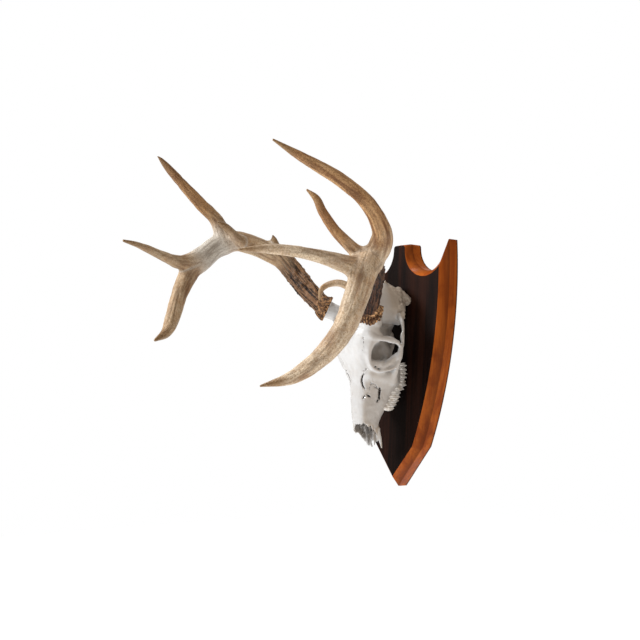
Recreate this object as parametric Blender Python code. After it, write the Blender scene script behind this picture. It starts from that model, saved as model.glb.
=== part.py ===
"""Deer skull and antlers on an arrowhead wall board.

The board's back lies in the plane Y = 0 against the wall, +Z is up and the
skull hangs nose down in front of it, toward -Y. All sizes are in metres.
"""
import itertools
import math

import bmesh
import bpy
import numpy as np
from mathutils import Vector
from mathutils.geometry import tessellate_polygon

# Board
BOARD_HEIGHT = 0.380
BOARD_HALF_WIDTH = 0.099
BOARD_THICKNESS = 0.031
BEVEL_INSET = 0.0095
BEVEL_DEPTH = 0.0135
SIDE_RADIUS = 0.700
WIDEST_BELOW_TOP = 0.065
POINT_LENGTH = 0.065
NOTCH_RADIUS = 0.0393
NOTCH_CENTRE_OUT = 0.0561
NOTCH_CENTRE_BELOW_TOP = 0.006
STEM_BELOW_TOP = 0.0022
STEM_ROUND = 0.006
STEM_ROUND_STEPS = 4
STEM_BEVEL_SHARE = 0.3
NOTCH_BEVEL_SHARE = 0.42
SIDE_STEPS = 16
NOTCH_STEPS = 18

# Skull, hung from the board's top
CREST_BELOW_TOP = 0.060
CONTACT_GAP = 0.0003
MERGE_DISTANCE = 0.000005
ROUNDING = 0.000001
TEETH_PER_SIDE = 6
TOOTH_ROW_START = 0.129
TOOTH_ROW_LENGTH = 0.072
SNOUT_WALL = 0.004
GRID_MARGIN = 0.013

# Antlers, seated on the pedicles
SEAT_OUT = 0.050
SEAT_PROUD = 0.099
SEAT_DOWN = {1: 0.058, -1: 0.050}
SEAT_AXIS = (0.55, 0.74, 0.39)
PEDICLE_RADIUS = 0.0130
BURR_RADIUS = 0.0175
BURR_BEAD_RADIUS = 0.0042
BURR_BEADS = 13

# Facets
ANTLER_STEP = 0.0026
SKULL_STEP = 0.0024
ANTLER_TRIANGLES = 2250
SKULL_TRIANGLES = 4800

FAR_AWAY = 1.0
FACE_Y = -BOARD_THICKNESS
CREST_Z = BOARD_HEIGHT / 2 - CREST_BELOW_TOP


def clear_scene():
    for obj in list(bpy.data.objects):
        bpy.data.objects.remove(obj, do_unlink=True)


def make_material(name, colour, roughness, metallic=0.0):
    material = bpy.data.materials.new(name)
    material.use_nodes = True
    shader = material.node_tree.nodes["Principled BSDF"]
    shader.inputs["Base Color"].default_value = (*colour, 1.0)
    shader.inputs["Roughness"].default_value = roughness
    shader.inputs["Metallic"].default_value = metallic
    material.diffuse_color = (*colour, 1.0)
    return material


def add_object(name, mesh, material, smooth):
    mesh.name = name
    mesh.materials.clear()
    mesh.materials.append(material)
    for polygon in mesh.polygons:
        polygon.use_smooth = smooth
    obj = bpy.data.objects.new(name, mesh)
    bpy.context.scene.collection.objects.link(obj)
    return obj


# Board outline


def side_x(height, inset):
    """Half width of the board at a height above its tip."""
    centre_x = BOARD_HALF_WIDTH - SIDE_RADIUS
    centre_z = BOARD_HEIGHT - WIDEST_BELOW_TOP
    radius = SIDE_RADIUS - inset
    return centre_x + math.sqrt(radius ** 2 - (height - centre_z) ** 2)


def notch_circle(inset):
    """Height of the notch's centre and its radius."""
    radius = NOTCH_RADIUS + inset * NOTCH_BEVEL_SHARE
    return BOARD_HEIGHT - NOTCH_CENTRE_BELOW_TOP - inset * (1 - NOTCH_BEVEL_SHARE), radius


def barb_point(inset):
    """Where the side arc meets the notch circle, or the board's top edge."""
    notch_z, notch_r = notch_circle(inset)
    low = notch_z - notch_r
    high = BOARD_HEIGHT - inset
    for _ in range(50):
        middle = (low + high) / 2
        reach = math.sqrt(max(notch_r ** 2 - (middle - notch_z) ** 2, 0.0))
        if NOTCH_CENTRE_OUT + reach < side_x(middle, inset) or middle > notch_z:
            low = middle
        else:
            high = middle
    return side_x(low, inset), low


def half_outline(inset):
    """Right half of the outline, from the tip up to the stem's top corner."""
    tip_slope = side_x(POINT_LENGTH, 0.0) / POINT_LENGTH
    tip_rise = inset * math.sqrt(1 + tip_slope ** 2) / tip_slope
    barb_x, barb_z = barb_point(inset)
    points = [(0.0, tip_rise)]
    for i in range(SIDE_STEPS + 1):
        z = POINT_LENGTH + (barb_z - POINT_LENGTH) * i / SIDE_STEPS
        points.append((side_x(z, inset), z))
    notch_z, notch_r = notch_circle(inset)
    start = math.atan2(barb_z - notch_z, barb_x - NOTCH_CENTRE_OUT)
    top_z = BOARD_HEIGHT - STEM_BELOW_TOP - inset * STEM_BEVEL_SHARE
    end = math.pi - math.asin((top_z - STEM_ROUND - notch_z) / notch_r)
    sweep = start - (end - 2 * math.pi)
    for i in range(NOTCH_STEPS + 1):
        angle = start - sweep * i / NOTCH_STEPS
        x = NOTCH_CENTRE_OUT + notch_r * math.cos(angle)
        points.append((x, notch_z + notch_r * math.sin(angle)))
    begin = Vector(points[-1])
    corner = Vector((NOTCH_CENTRE_OUT - math.sqrt(notch_r ** 2 - (top_z - notch_z) ** 2), top_z))
    last = corner - Vector((STEM_ROUND, 0.0))
    for i in range(1, STEM_ROUND_STEPS + 1):
        t = i / STEM_ROUND_STEPS
        points.append(tuple(begin * (1 - t) ** 2 + corner * 2 * t * (1 - t) + last * t ** 2))
    return points


def outline(inset):
    right = half_outline(inset)
    left = [(-x, z) for x, z in reversed(right[1:])]
    return right + left


def build_board(material):
    layers = [
        (0.0, 0.0),
        (0.0, -(BOARD_THICKNESS - BEVEL_DEPTH)),
        (BEVEL_INSET, -BOARD_THICKNESS),
    ]
    mesh = bmesh.new()
    rings = []
    for inset, y in layers:
        ring = []
        for x, z in outline(inset):
            ring.append(mesh.verts.new((x, y, z - BOARD_HEIGHT / 2)))
        rings.append(ring)
    count = len(rings[0])
    for lower, upper in itertools.pairwise(rings):
        for i in range(count):
            j = (i + 1) % count
            mesh.faces.new((lower[i], lower[j], upper[j], upper[i]))
    for ring in (rings[0], rings[-1]):
        before = ring[-1:] + ring[:-1]
        cap = [vert for vert, other in zip(ring, before) if (vert.co - other.co).length > MERGE_DISTANCE]
        for corners in tessellate_polygon([[vert.co for vert in cap]]):
            mesh.faces.new([cap[k] for k in corners])
    bmesh.ops.remove_doubles(mesh, verts=mesh.verts, dist=MERGE_DISTANCE)
    bmesh.ops.recalc_face_normals(mesh, faces=mesh.faces)
    data = bpy.data.meshes.new("board")
    mesh.to_mesh(data)
    mesh.free()
    return add_object("plaque", data, material, False)


# Distance fields


class Field:
    """Signed distance on a grid, negative inside, built up from simple bodies."""

    def __init__(self, low, high, step):
        self.low = np.array(low)
        self.step = step
        self.count = [int(math.ceil((b - a) / step - ROUNDING)) + 1 for a, b in zip(low, high)]
        self.value = np.full(self.count, FAR_AWAY)

    def window(self, low, high):
        """Slices and point coordinates of the grid inside a box."""
        first = np.floor((np.array(low) - self.low) / self.step).astype(int)
        last = np.ceil((np.array(high) - self.low) / self.step).astype(int) + 1
        first = np.clip(first, 0, self.count)
        last = np.clip(last, 0, self.count)
        axes = [self.low[k] + self.step * np.arange(first[k], last[k]) for k in range(3)]
        grid = np.meshgrid(*axes, indexing="ij", sparse=True)
        return tuple(slice(a, b) for a, b in zip(first, last)), grid

    def join(self, other, blend):
        self.value = smooth_min(self.value, other.value, blend)

    def cut(self, other, blend):
        self.value = -smooth_min(-self.value, other.value, blend)


def smooth_min(a, b, blend):
    overlap = np.maximum(blend - np.abs(a - b), 0.0) / blend
    return np.minimum(a, b) - overlap * overlap * blend / 4


def new_field(like):
    high = like.low + like.step * (np.array(like.count) - 1)
    return Field(like.low, high, like.step)


def add_limb(field, points, margin=0.012):
    """Round-cone chain through (x, y, z, radius) points."""
    for start, end in itertools.pairwise(points):
        a = np.array(start[:3])
        b = np.array(end[:3])
        reach = max(start[3], end[3]) + margin
        where, (x, y, z) = field.window(np.minimum(a, b) - reach, np.maximum(a, b) + reach)
        along = b - a
        share = (x - a[0]) * along[0] + (y - a[1]) * along[1] + (z - a[2]) * along[2]
        share = np.clip(share / max(along @ along, 1e-12), 0.0, 1.0)
        dx = x - a[0] - share * along[0]
        dy = y - a[1] - share * along[1]
        dz = z - a[2] - share * along[2]
        radius = start[3] + share * (end[3] - start[3])
        distance = np.sqrt(dx * dx + dy * dy + dz * dz) - radius
        field.value[where] = np.minimum(field.value[where], distance)


def add_ellipsoid(field, centre, radii, margin=0.012):
    centre = np.array(centre)
    radii = np.array(radii)
    where, (x, y, z) = field.window(centre - radii - margin, centre + radii + margin)
    px, py, pz = (x - centre[0]), (y - centre[1]), (z - centre[2])
    unit = np.sqrt((px / radii[0]) ** 2 + (py / radii[1]) ** 2 + (pz / radii[2]) ** 2)
    slope = np.sqrt(
        (px / radii[0] ** 2) ** 2 + (py / radii[1] ** 2) ** 2 + (pz / radii[2] ** 2) ** 2
    )
    distance = unit * (unit - 1.0) / np.maximum(slope, 1e-9)
    field.value[where] = np.minimum(field.value[where], distance)


def curve(points, spacing):
    """Catmull-Rom curve through rows of numbers, sampled about every spacing."""
    rows = np.array(points, dtype=float)
    rows = np.vstack([2 * rows[0] - rows[1], rows, 2 * rows[-1] - rows[-2]])
    samples = []
    for i in range(1, len(rows) - 2):
        p0, p1, p2, p3 = rows[i - 1:i + 3]
        pieces = max(2, int(math.ceil(np.linalg.norm((p2 - p1)[:3]) / spacing)))
        for t in np.arange(pieces) / pieces:
            samples.append(0.5 * (
                2 * p1 + (p2 - p0) * t
                + (2 * p0 - 5 * p1 + 4 * p2 - p3) * t ** 2
                + (3 * p1 - p0 - 3 * p2 + p3) * t ** 3
            ))
    samples.append(rows[-2])
    return np.array(samples)


def surface(field):
    """Closed triangle mesh of the zero level, by tetrahedra."""
    value = np.where(np.abs(field.value) < 1e-7, 1e-7, field.value)
    shape = value.shape
    inside = value < 0
    cell_any = np.zeros([n - 1 for n in shape], dtype=bool)
    cell_all = np.ones([n - 1 for n in shape], dtype=bool)
    corners = list(itertools.product((0, 1), repeat=3))
    for i, j, k in corners:
        part = inside[i:shape[0] - 1 + i, j:shape[1] - 1 + j, k:shape[2] - 1 + k]
        cell_any |= part
        cell_all &= part
    cells = np.argwhere(cell_any & ~cell_all)
    flat = value.ravel()
    strides = np.array([shape[1] * shape[2], shape[2], 1])
    base = cells @ strides
    triangles = []
    for order in itertools.permutations(range(3)):
        offset = [0]
        for axis in order:
            offset.append(offset[-1] + strides[axis])
        tet = base[:, None] + np.array(offset)[None, :]
        triangles.extend(tetrahedron_faces(tet, flat))
    edges = np.concatenate(triangles)
    total = flat.size
    keys = edges[..., 0] * total + edges[..., 1]
    unique, index = np.unique(keys.ravel(), return_inverse=True)
    first = unique // total
    second = unique % total
    share = flat[first] / (flat[first] - flat[second])
    share = np.clip(share, 0.04, 0.96)[:, None]
    point_a = np.stack(np.unravel_index(first, shape), 1)
    point_b = np.stack(np.unravel_index(second, shape), 1)
    points = field.low + field.step * (point_a + share * (point_b - point_a))
    return points, index.reshape(-1, 3)


def tetrahedron_faces(tet, flat):
    """Triangles as (inside, outside) grid edges, wound to face outward."""
    signs = flat[tet] < 0
    count = signs.sum(1)
    found = []
    for alone in range(4):
        rest = [i for i in range(4) if i != alone]
        for lone_inside in (True, False):
            chosen = (count == (1 if lone_inside else 3)) & (signs[:, alone] == lone_inside)
            rows = tet[chosen]
            ends = [(rows[:, alone], rows[:, r]) for r in rest]
            if not lone_inside:
                ends = [(b, a) for a, b in ends]
            found.append(np.stack([np.stack(e, 1) for e in ends], 1))
    for pair in itertools.combinations(range(4), 2):
        others = [i for i in range(4) if i not in pair]
        rows = tet[(count == 2) & signs[:, pair[0]] & signs[:, pair[1]]]
        a, b = rows[:, pair[0]], rows[:, pair[1]]
        c, d = rows[:, others[0]], rows[:, others[1]]
        ring = [np.stack(e, 1) for e in ((a, c), (a, d), (b, d), (b, c))]
        found.append(np.stack([ring[0], ring[1], ring[2]], 1))
        found.append(np.stack([ring[0], ring[2], ring[3]], 1))
    return [f for f in found if len(f)]


def mesh_from_field(field, budget):
    """Surface of a field, thinned out to about a budget of triangles."""
    points, triangles = surface(field)
    data = bpy.data.meshes.new("field")
    data.from_pydata(points.tolist(), [], triangles.tolist())
    mesh = bmesh.new()
    mesh.from_mesh(data)
    bmesh.ops.recalc_face_normals(mesh, faces=mesh.faces)
    keep_largest_body(mesh)
    mesh.to_mesh(data)
    mesh.free()
    carrier = bpy.data.objects.new("field", data)
    bpy.context.scene.collection.objects.link(carrier)
    thin = carrier.modifiers.new("thin", "DECIMATE")
    thin.ratio = min(1.0, budget / len(data.polygons))
    thin.use_collapse_triangulate = True
    graph = bpy.context.evaluated_depsgraph_get()
    result = bpy.data.meshes.new_from_object(carrier.evaluated_get(graph))
    bpy.data.objects.remove(carrier, do_unlink=True)
    return result


def keep_largest_body(mesh):
    waiting = set(mesh.verts)
    bodies = []
    while waiting:
        seed = waiting.pop()
        body = {seed}
        front = [seed]
        while front:
            vert = front.pop()
            for edge in vert.link_edges:
                other = edge.other_vert(vert)
                if other not in body:
                    body.add(other)
                    front.append(other)
        waiting -= body
        bodies.append(body)
    bodies.sort(key=len)
    for body in bodies[:-1]:
        bmesh.ops.delete(mesh, geom=list(body), context="VERTS")


def trim(data, point, normal):
    """Cut a mesh flat at a plane, drop what lies beyond it and cap the cut."""
    mesh = bmesh.new()
    mesh.from_mesh(data)
    everything = list(mesh.verts) + list(mesh.edges) + list(mesh.faces)
    cut = bmesh.ops.bisect_plane(
        mesh, geom=everything, dist=1e-6, plane_co=point, plane_no=normal, clear_outer=True
    )
    rim = [e for e in cut["geom_cut"] if isinstance(e, bmesh.types.BMEdge)]
    filled = bmesh.ops.holes_fill(mesh, edges=rim, sides=0)
    bmesh.ops.triangulate(mesh, faces=filled["faces"])
    bmesh.ops.recalc_face_normals(mesh, faces=mesh.faces)
    mesh.to_mesh(data)
    mesh.free()


# Skull


def skull_point(side, proud, down):
    """Place in the world from midline, board face and crest."""
    return (side, FACE_Y - proud, CREST_Z - down)


def skull_limb(field, rows, both=True):
    for hand in ((1, -1) if both else (1,)):
        points = [(*skull_point(hand * s, p, d), r) for s, p, d, r in rows]
        add_limb(field, curve(points, 0.006))


def skull_ellipsoid(field, centre, radii, both=True):
    for hand in ((1, -1) if both else (1,)):
        side, proud, down = centre
        add_ellipsoid(field, skull_point(hand * side, proud, down), radii)


FACE_SECTIONS = (
    # down, back edge, front edge, half width at the back, half width at the front
    (0.076, 0.030, 0.098, 0.024, 0.034),
    (0.098, 0.028, 0.099, 0.024, 0.036),
    (0.118, 0.022, 0.095, 0.028, 0.035),
    (0.132, 0.013, 0.090, 0.036, 0.032),
    (0.150, 0.011, 0.084, 0.0375, 0.026),
    (0.170, 0.011, 0.081, 0.0345, 0.022),
    (0.190, 0.015, 0.080, 0.0285, 0.0195),
    (0.203, 0.022, 0.079, 0.024, 0.0185),
    (0.214, 0.036, 0.078, 0.019, 0.0175),
    (0.236, 0.040, 0.0745, 0.016, 0.0155),
    (0.262, 0.038, 0.066, 0.0135, 0.013),
)
SECTION_POWER = 3.2
SNOUT_CAVITY_FROM = 4

ORBIT_RIM = (
    # side, proud, down, radius, once round from the forehead
    (0.044, 0.088, 0.099, 0.0050),
    (0.051, 0.071, 0.093, 0.0045),
    (0.0535, 0.053, 0.096, 0.0040),
    (0.0525, 0.040, 0.111, 0.0040),
    (0.049, 0.042, 0.128, 0.0045),
    (0.042, 0.059, 0.139, 0.0045),
    (0.037, 0.076, 0.137, 0.0045),
    (0.038, 0.090, 0.120, 0.0050),
)


def add_face(field, shrink=0.0, first=0):
    """Loft of rounded sections down the face, made smaller by a wall."""
    rows = np.array(FACE_SECTIONS[first:])
    downs = rows[:, 0]
    low = skull_point(-0.05, 0.12, downs[-1] + 0.004)
    high = skull_point(0.05, 0.0, downs[0] - 0.004)
    where, (x, y, z) = field.window(low, high)
    down = CREST_Z - z
    proud = FACE_Y - y
    back, front, half_back, half_front = (np.interp(down, downs, rows[:, k]) for k in range(1, 5))
    middle = (back + front) / 2
    depth = (front - back) / 2
    share = np.clip((proud - middle) / depth * 0.5 + 0.5, 0.0, 1.0)
    half = half_back + (half_front - half_back) * share - shrink
    depth = depth - shrink
    ratio = (np.abs(x) / half) ** SECTION_POWER + (np.abs(proud - middle) / depth) ** SECTION_POWER
    distance = (ratio ** (1 / SECTION_POWER) - 1.0) * np.minimum(half, depth)
    distance = np.maximum(distance, np.maximum(downs[0] - down, down - downs[-1]))
    field.value[where] = np.minimum(field.value[where], distance)


def add_braincase(body):
    skull_ellipsoid(body, (0.0, 0.044, 0.042), (0.033, 0.038, 0.038), False)
    base = new_field(body)
    skull_limb(base, [(0, 0.030, 0.092, 0.010), (0, 0.021, 0.062, 0.011), (0, 0.016, 0.034, 0.012)],
               False)
    skull_ellipsoid(base, (0.020, 0.022, 0.042), (0.013, 0.016, 0.024))
    body.join(base, 0.012)
    crest = new_field(body)
    skull_limb(crest, [(0.0, 0.034, 0.004, 0.0045), (0.012, 0.025, 0.013, 0.0045),
                       (0.021, 0.014, 0.021, 0.005),
                       (0.027, 0.006, 0.026, 0.0045), (0.028, -0.004, 0.031, 0.0036)])
    body.join(crest, 0.010)
    knobs = new_field(body)
    skull_ellipsoid(knobs, (0.011, 0.010, 0.020), (0.008, 0.008, 0.010))
    body.join(knobs, 0.006)


def add_forehead(body):
    forehead = new_field(body)
    skull_ellipsoid(forehead, (0.0, 0.080, 0.078), (0.036, 0.021, 0.040), False)
    skull_ellipsoid(forehead, (0.022, 0.082, 0.092), (0.024, 0.015, 0.030))
    body.join(forehead, 0.014)
    axis = Vector(SEAT_AXIS).normalized()
    pedicle = new_field(body)
    for hand in (1, -1):
        rows = []
        for reach, radius in ((-0.030, PEDICLE_RADIUS + 0.004), (0.008, PEDICLE_RADIUS)):
            point = Vector((SEAT_OUT, SEAT_PROUD, SEAT_DOWN[hand])) + reach * Vector((axis.x, axis.y,
                                                                                      -axis.z))
            rows.append((*skull_point(hand * point.x, point.y, point.z), radius))
        add_limb(pedicle, rows)
    body.join(pedicle, 0.012)


def add_orbits(body):
    sockets = new_field(body)
    skull_ellipsoid(sockets, (0.056, 0.065, 0.116), (0.033, 0.0260, 0.0210))
    body.cut(sockets, 0.004)
    rims = new_field(body)
    skull_limb(rims, [*ORBIT_RIM, ORBIT_RIM[0]])
    skull_limb(rims, [(0.034, 0.034, 0.155, 0.007), (0.043, 0.040, 0.140, 0.006),
                      (0.050, 0.042, 0.124, 0.005),
                      (0.0535, 0.042, 0.100, 0.0042), (0.0515, 0.040, 0.080, 0.0036),
                      (0.046, 0.036, 0.067, 0.0040),
                      (0.036, 0.032, 0.057, 0.006), (0.028, 0.030, 0.050, 0.007)])
    skull_limb(rims, [(0.034, 0.088, 0.084, 0.008), (0.045, 0.087, 0.092, 0.0055),
                      (0.052, 0.069, 0.095, 0.0045),
                      (0.0535, 0.046, 0.099, 0.0042)])
    skull_limb(rims, [(0.014, 0.034, 0.118, 0.004), (0.015, 0.020, 0.102, 0.0035),
                      (0.013, 0.022, 0.086, 0.0035)])
    body.join(rims, 0.008)


def add_teeth(body):
    palate = new_field(body)
    skull_limb(palate, [(0, 0.004, 0.112, 0.016), (0, 0.006, 0.150, 0.020), (0, 0.007, 0.185, 0.017),
                        (0, 0.016, 0.212, 0.014)], False)
    body.cut(palate, 0.006)
    teeth = new_field(body)
    pitch = TOOTH_ROW_LENGTH / TEETH_PER_SIDE
    for i in range(TEETH_PER_SIDE):
        share = (i + 0.5) / TEETH_PER_SIDE
        side = 0.0305 - 0.007 * share ** 2
        down = TOOTH_ROW_START + TOOTH_ROW_LENGTH * share
        tip = -0.002 + 0.018 * max(0.0, share - 0.5)
        width = 0.0064 - 0.0015 * share
        skull_ellipsoid(teeth, (side, 0.010 + tip / 2, down), (width, 0.0125 - tip / 2, pitch * 0.56))
    body.join(teeth, 0.003)


def add_snout_openings(body):
    hollow = new_field(body)
    add_face(hollow, SNOUT_WALL, SNOUT_CAVITY_FROM)
    body.cut(hollow, 0.003)
    windows = new_field(body)
    skull_limb(windows, [(0.020, 0.077, 0.152, 0.0050), (0.022, 0.070, 0.166, 0.0065),
                         (0.024, 0.062, 0.181, 0.0040)])
    skull_limb(windows, [(0.0, 0.026, -0.002, 0.0075), (0.0, 0.030, 0.026, 0.0085)], False)
    body.cut(windows, 0.003)


def break_nose(body):
    """Jagged end of the snout with two splinters left along the palate."""
    low = body.low
    high = body.low + body.step * np.array(body.count)
    where, (x, y, z) = body.window(low, high)
    down = CREST_Z - z
    proud = FACE_Y - y
    notches = 0.005 * np.abs(((x + 0.03) / 0.009) % 1.0 - 0.5)
    break_line = 0.237 + 0.35 * (0.070 - proud) - notches
    body.value[where] = np.maximum(body.value[where], down - break_line)
    splinters = new_field(body)
    skull_limb(splinters, [(0.0125, 0.044, 0.232, 0.0042), (0.0115, 0.038, 0.246, 0.0034),
                           (0.010, 0.033, 0.256, 0.0016)])
    body.join(splinters, 0.003)


def build_skull(material):
    out = SEAT_OUT + PEDICLE_RADIUS + GRID_MARGIN
    proud = SEAT_PROUD + PEDICLE_RADIUS + GRID_MARGIN
    low = skull_point(-out, proud, FACE_SECTIONS[-1][0] + GRID_MARGIN)
    high = skull_point(out, -GRID_MARGIN, -GRID_MARGIN)
    body = Field(low, high, SKULL_STEP)
    add_braincase(body)
    add_forehead(body)
    face = new_field(body)
    add_face(face)
    body.join(face, 0.012)
    add_orbits(body)
    add_teeth(body)
    add_snout_openings(body)
    break_nose(body)
    data = mesh_from_field(body, SKULL_TRIANGLES)
    trim(data, skull_point(0.0, CONTACT_GAP, 0.0), (0, 1, 0))
    axis = Vector(SEAT_AXIS).normalized()
    for hand in (1, -1):
        point = Vector(skull_point(hand * SEAT_OUT, SEAT_PROUD, SEAT_DOWN[hand]))
        normal = Vector((hand * axis.x, -axis.y, axis.z))
        trim(data, point - normal * CONTACT_GAP / 2, normal)
    return add_object("skull", data, material, True)


# Antlers: rows are out, proud and up from the seat, then the radius

LEFT_LIMBS = {
    "beam": [(0, 0, 0, 0.0155), (0.006, 0.008, 0.007, 0.0150), (0.035, 0.0285, 0.034, 0.0150),
             (0.07, 0.0565, 0.051, 0.0160), (0.105, 0.0945, 0.061, 0.0175),
             (0.132, 0.1265, 0.043, 0.0180), (0.138, 0.1445, 0.006, 0.0165),
             (0.131, 0.1575, -0.033, 0.0150), (0.115, 0.1785, -0.068, 0.0127),
             (0.097, 0.2095, -0.095, 0.0088), (0.085, 0.2495, -0.107, 0.0015)],
    "high_tine": [(0.105, 0.0945, 0.061, 0.0150), (0.126, 0.0955, 0.08, 0.0160),
                  (0.137, 0.1025, 0.101, 0.0127), (0.137, 0.1295, 0.134, 0.0100),
                  (0.123, 0.1675, 0.162, 0.0090), (0.107, 0.2105, 0.183, 0.0066),
                  (0.093, 0.2495, 0.203, 0.0015)],
    "inner_tine": [(0.1, 0.0955, 0.062, 0.0120), (0.105, 0.1195, 0.074, 0.0092),
                   (0.097, 0.145, 0.096, 0.0074), (0.086, 0.16, 0.121, 0.0064),
                   (0.078, 0.166, 0.14, 0.0050), (0.068, 0.1745, 0.152, 0.0015)],
    "front_tine": [(0.115, 0.1145, 0.051, 0.0145), (0.122, 0.1495, 0.053, 0.0120),
                   (0.122, 0.1825, 0.058, 0.0093), (0.118, 0.2185, 0.062, 0.0076),
                   (0.108, 0.2585, 0.063, 0.0062), (0.099, 0.2985, 0.059, 0.0015)],
    "brow_tine": [(0.025, 0.0245, 0.035, 0.0080), (0.028, 0.0585, 0.033, 0.0064),
                  (0.02, 0.0745, 0.038, 0.0051), (0.012, 0.0875, 0.036, 0.0045),
                  (0.006, 0.0965, 0.028, 0.0037), (0.002, 0.0965, 0.014, 0.0015)],
}

RIGHT_LIMBS = {
    "beam": [(0, 0, 0, 0.0155), (0.006, 0.007, 0.007, 0.0150), (0.035, 0.0165, 0.032, 0.0155),
             (0.06, 0.0245, 0.059, 0.0160), (0.085, 0.0385, 0.084, 0.0155),
             (0.125, 0.0875, 0.106, 0.0160), (0.139, 0.1175, 0.095, 0.0175),
             (0.142, 0.1395, 0.077, 0.0175), (0.14, 0.1625, 0.055, 0.0155),
             (0.133, 0.1845, 0.019, 0.0128), (0.118, 0.2055, -0.023, 0.0112),
             (0.106, 0.2215, -0.045, 0.0080), (0.092, 0.2475, -0.058, 0.0022)],
    "high_tine": [(0.132, 0.1055, 0.103, 0.0150), (0.137, 0.1225, 0.137, 0.0108),
                  (0.136, 0.148, 0.155, 0.0098), (0.131, 0.178, 0.175, 0.0084),
                  (0.123, 0.2045, 0.191, 0.0070), (0.111, 0.23, 0.204, 0.0052),
                  (0.101, 0.2505, 0.215, 0.0015)],
    "front_tine": [(0.14, 0.1475, 0.072, 0.0155), (0.132, 0.1875, 0.064, 0.0112),
                   (0.122, 0.2245, 0.07, 0.0074), (0.11, 0.2685, 0.08, 0.0050),
                   (0.099, 0.3055, 0.084, 0.0015)],
    "spur": [(0.087, 0.0415, 0.085, 0.0075), (0.087, 0.0435, 0.106, 0.0054),
             (0.088, 0.0465, 0.116, 0.0016)],
    "snag": [(0.11, 0.0925, 0.103, 0.0080), (0.1, 0.1275, 0.122, 0.0058),
             (0.093, 0.1475, 0.127, 0.0015)],
}


def antler_point(hand, out, proud, up):
    return skull_point(hand * (SEAT_OUT + out), SEAT_PROUD + proud, SEAT_DOWN[hand] - up)


def build_antler(name, hand, limbs, material):
    placed = {}
    for limb, rows in limbs.items():
        placed[limb] = [(*antler_point(hand, *row[:3]), row[3]) for row in rows]
    everything = np.array(list(itertools.chain.from_iterable(placed.values())))
    reach = 0.026
    field = Field(everything[:, :3].min(0) - reach, everything[:, :3].max(0) + reach, ANTLER_STEP)
    for rows in placed.values():
        limb = new_field(field)
        add_limb(limb, curve(rows, 0.005))
        field.join(limb, 0.010)

    # Burr of coarse beads round the seat
    axis = Vector(SEAT_AXIS).normalized()
    seat = Vector(skull_point(hand * SEAT_OUT, SEAT_PROUD, SEAT_DOWN[hand]))
    normal = Vector((hand * axis.x, -axis.y, axis.z))
    across = normal.orthogonal().normalized()
    around = normal.cross(across)
    burr = new_field(field)
    add_limb(burr, [(*(seat - normal * 0.004), BURR_RADIUS - 0.001),
                    (*(seat + normal * 0.004), BURR_RADIUS - 0.003)])
    for i in range(BURR_BEADS):
        angle = 2 * math.pi * i / BURR_BEADS
        swell = 1.0 + 0.18 * math.sin(5 * angle + hand)
        bead = seat + normal * 0.004 + (across * math.cos(angle) + around * math.sin(angle)) * BURR_RADIUS
        add_ellipsoid(burr, bead, [BURR_BEAD_RADIUS * swell] * 3)
    field.join(burr, 0.003)

    data = mesh_from_field(field, ANTLER_TRIANGLES)
    trim(data, seat + normal * CONTACT_GAP / 2, -normal)
    return add_object(name, data, material, True)


def main():
    clear_scene()
    walnut = make_material("dark_walnut", (0.050, 0.022, 0.014), 0.38)
    bone = make_material("bleached_bone", (0.82, 0.79, 0.73), 0.35)
    horn = make_material("antler", (0.36, 0.27, 0.18), 0.55)
    build_board(walnut)
    build_skull(bone)
    build_antler("antler_left", 1, LEFT_LIMBS, horn)
    build_antler("antler_right", -1, RIGHT_LIMBS, horn)


main()
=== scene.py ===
"""Deer skull and antlers on an arrowhead wall board, dressed for the studio."""
import itertools
import math

import bmesh
import bpy
import numpy as np
from mathutils import Matrix, Vector
from mathutils.geometry import tessellate_polygon


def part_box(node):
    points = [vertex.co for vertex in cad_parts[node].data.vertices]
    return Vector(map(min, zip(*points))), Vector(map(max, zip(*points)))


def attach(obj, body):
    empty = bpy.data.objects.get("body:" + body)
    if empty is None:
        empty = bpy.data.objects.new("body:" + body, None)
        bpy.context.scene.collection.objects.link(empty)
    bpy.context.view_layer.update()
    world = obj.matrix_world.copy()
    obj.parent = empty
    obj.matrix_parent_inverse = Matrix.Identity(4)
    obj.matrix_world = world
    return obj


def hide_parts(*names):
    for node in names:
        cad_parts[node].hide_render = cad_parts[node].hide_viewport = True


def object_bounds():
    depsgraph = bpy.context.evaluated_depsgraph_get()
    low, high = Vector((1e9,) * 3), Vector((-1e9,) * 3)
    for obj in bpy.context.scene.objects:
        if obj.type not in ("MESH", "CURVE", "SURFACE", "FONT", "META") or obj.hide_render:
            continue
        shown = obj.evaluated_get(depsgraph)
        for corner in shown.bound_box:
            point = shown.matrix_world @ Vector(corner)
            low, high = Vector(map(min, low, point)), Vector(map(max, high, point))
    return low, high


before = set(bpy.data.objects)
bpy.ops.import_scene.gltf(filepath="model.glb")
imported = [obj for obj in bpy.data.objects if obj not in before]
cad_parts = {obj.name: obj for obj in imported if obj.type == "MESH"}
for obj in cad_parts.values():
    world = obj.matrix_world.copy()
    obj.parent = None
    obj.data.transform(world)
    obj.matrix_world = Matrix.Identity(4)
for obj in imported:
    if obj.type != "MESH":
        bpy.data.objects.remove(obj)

CAD_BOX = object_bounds()

# Camera, fitted to the board's edges
VIEW_AZIMUTH = math.radians(52.1)
VIEW_PITCH = math.radians(-2.5)
VIEW_ROLL = math.radians(1.96)
VIEW_DISTANCE = 1.650
VIEW_SLIDE = (-0.145, 0.065)
LENS_IN_PIXELS = 1046.0
FRAME_IN_PIXELS = 640.0
SENSOR = 36.0

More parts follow.
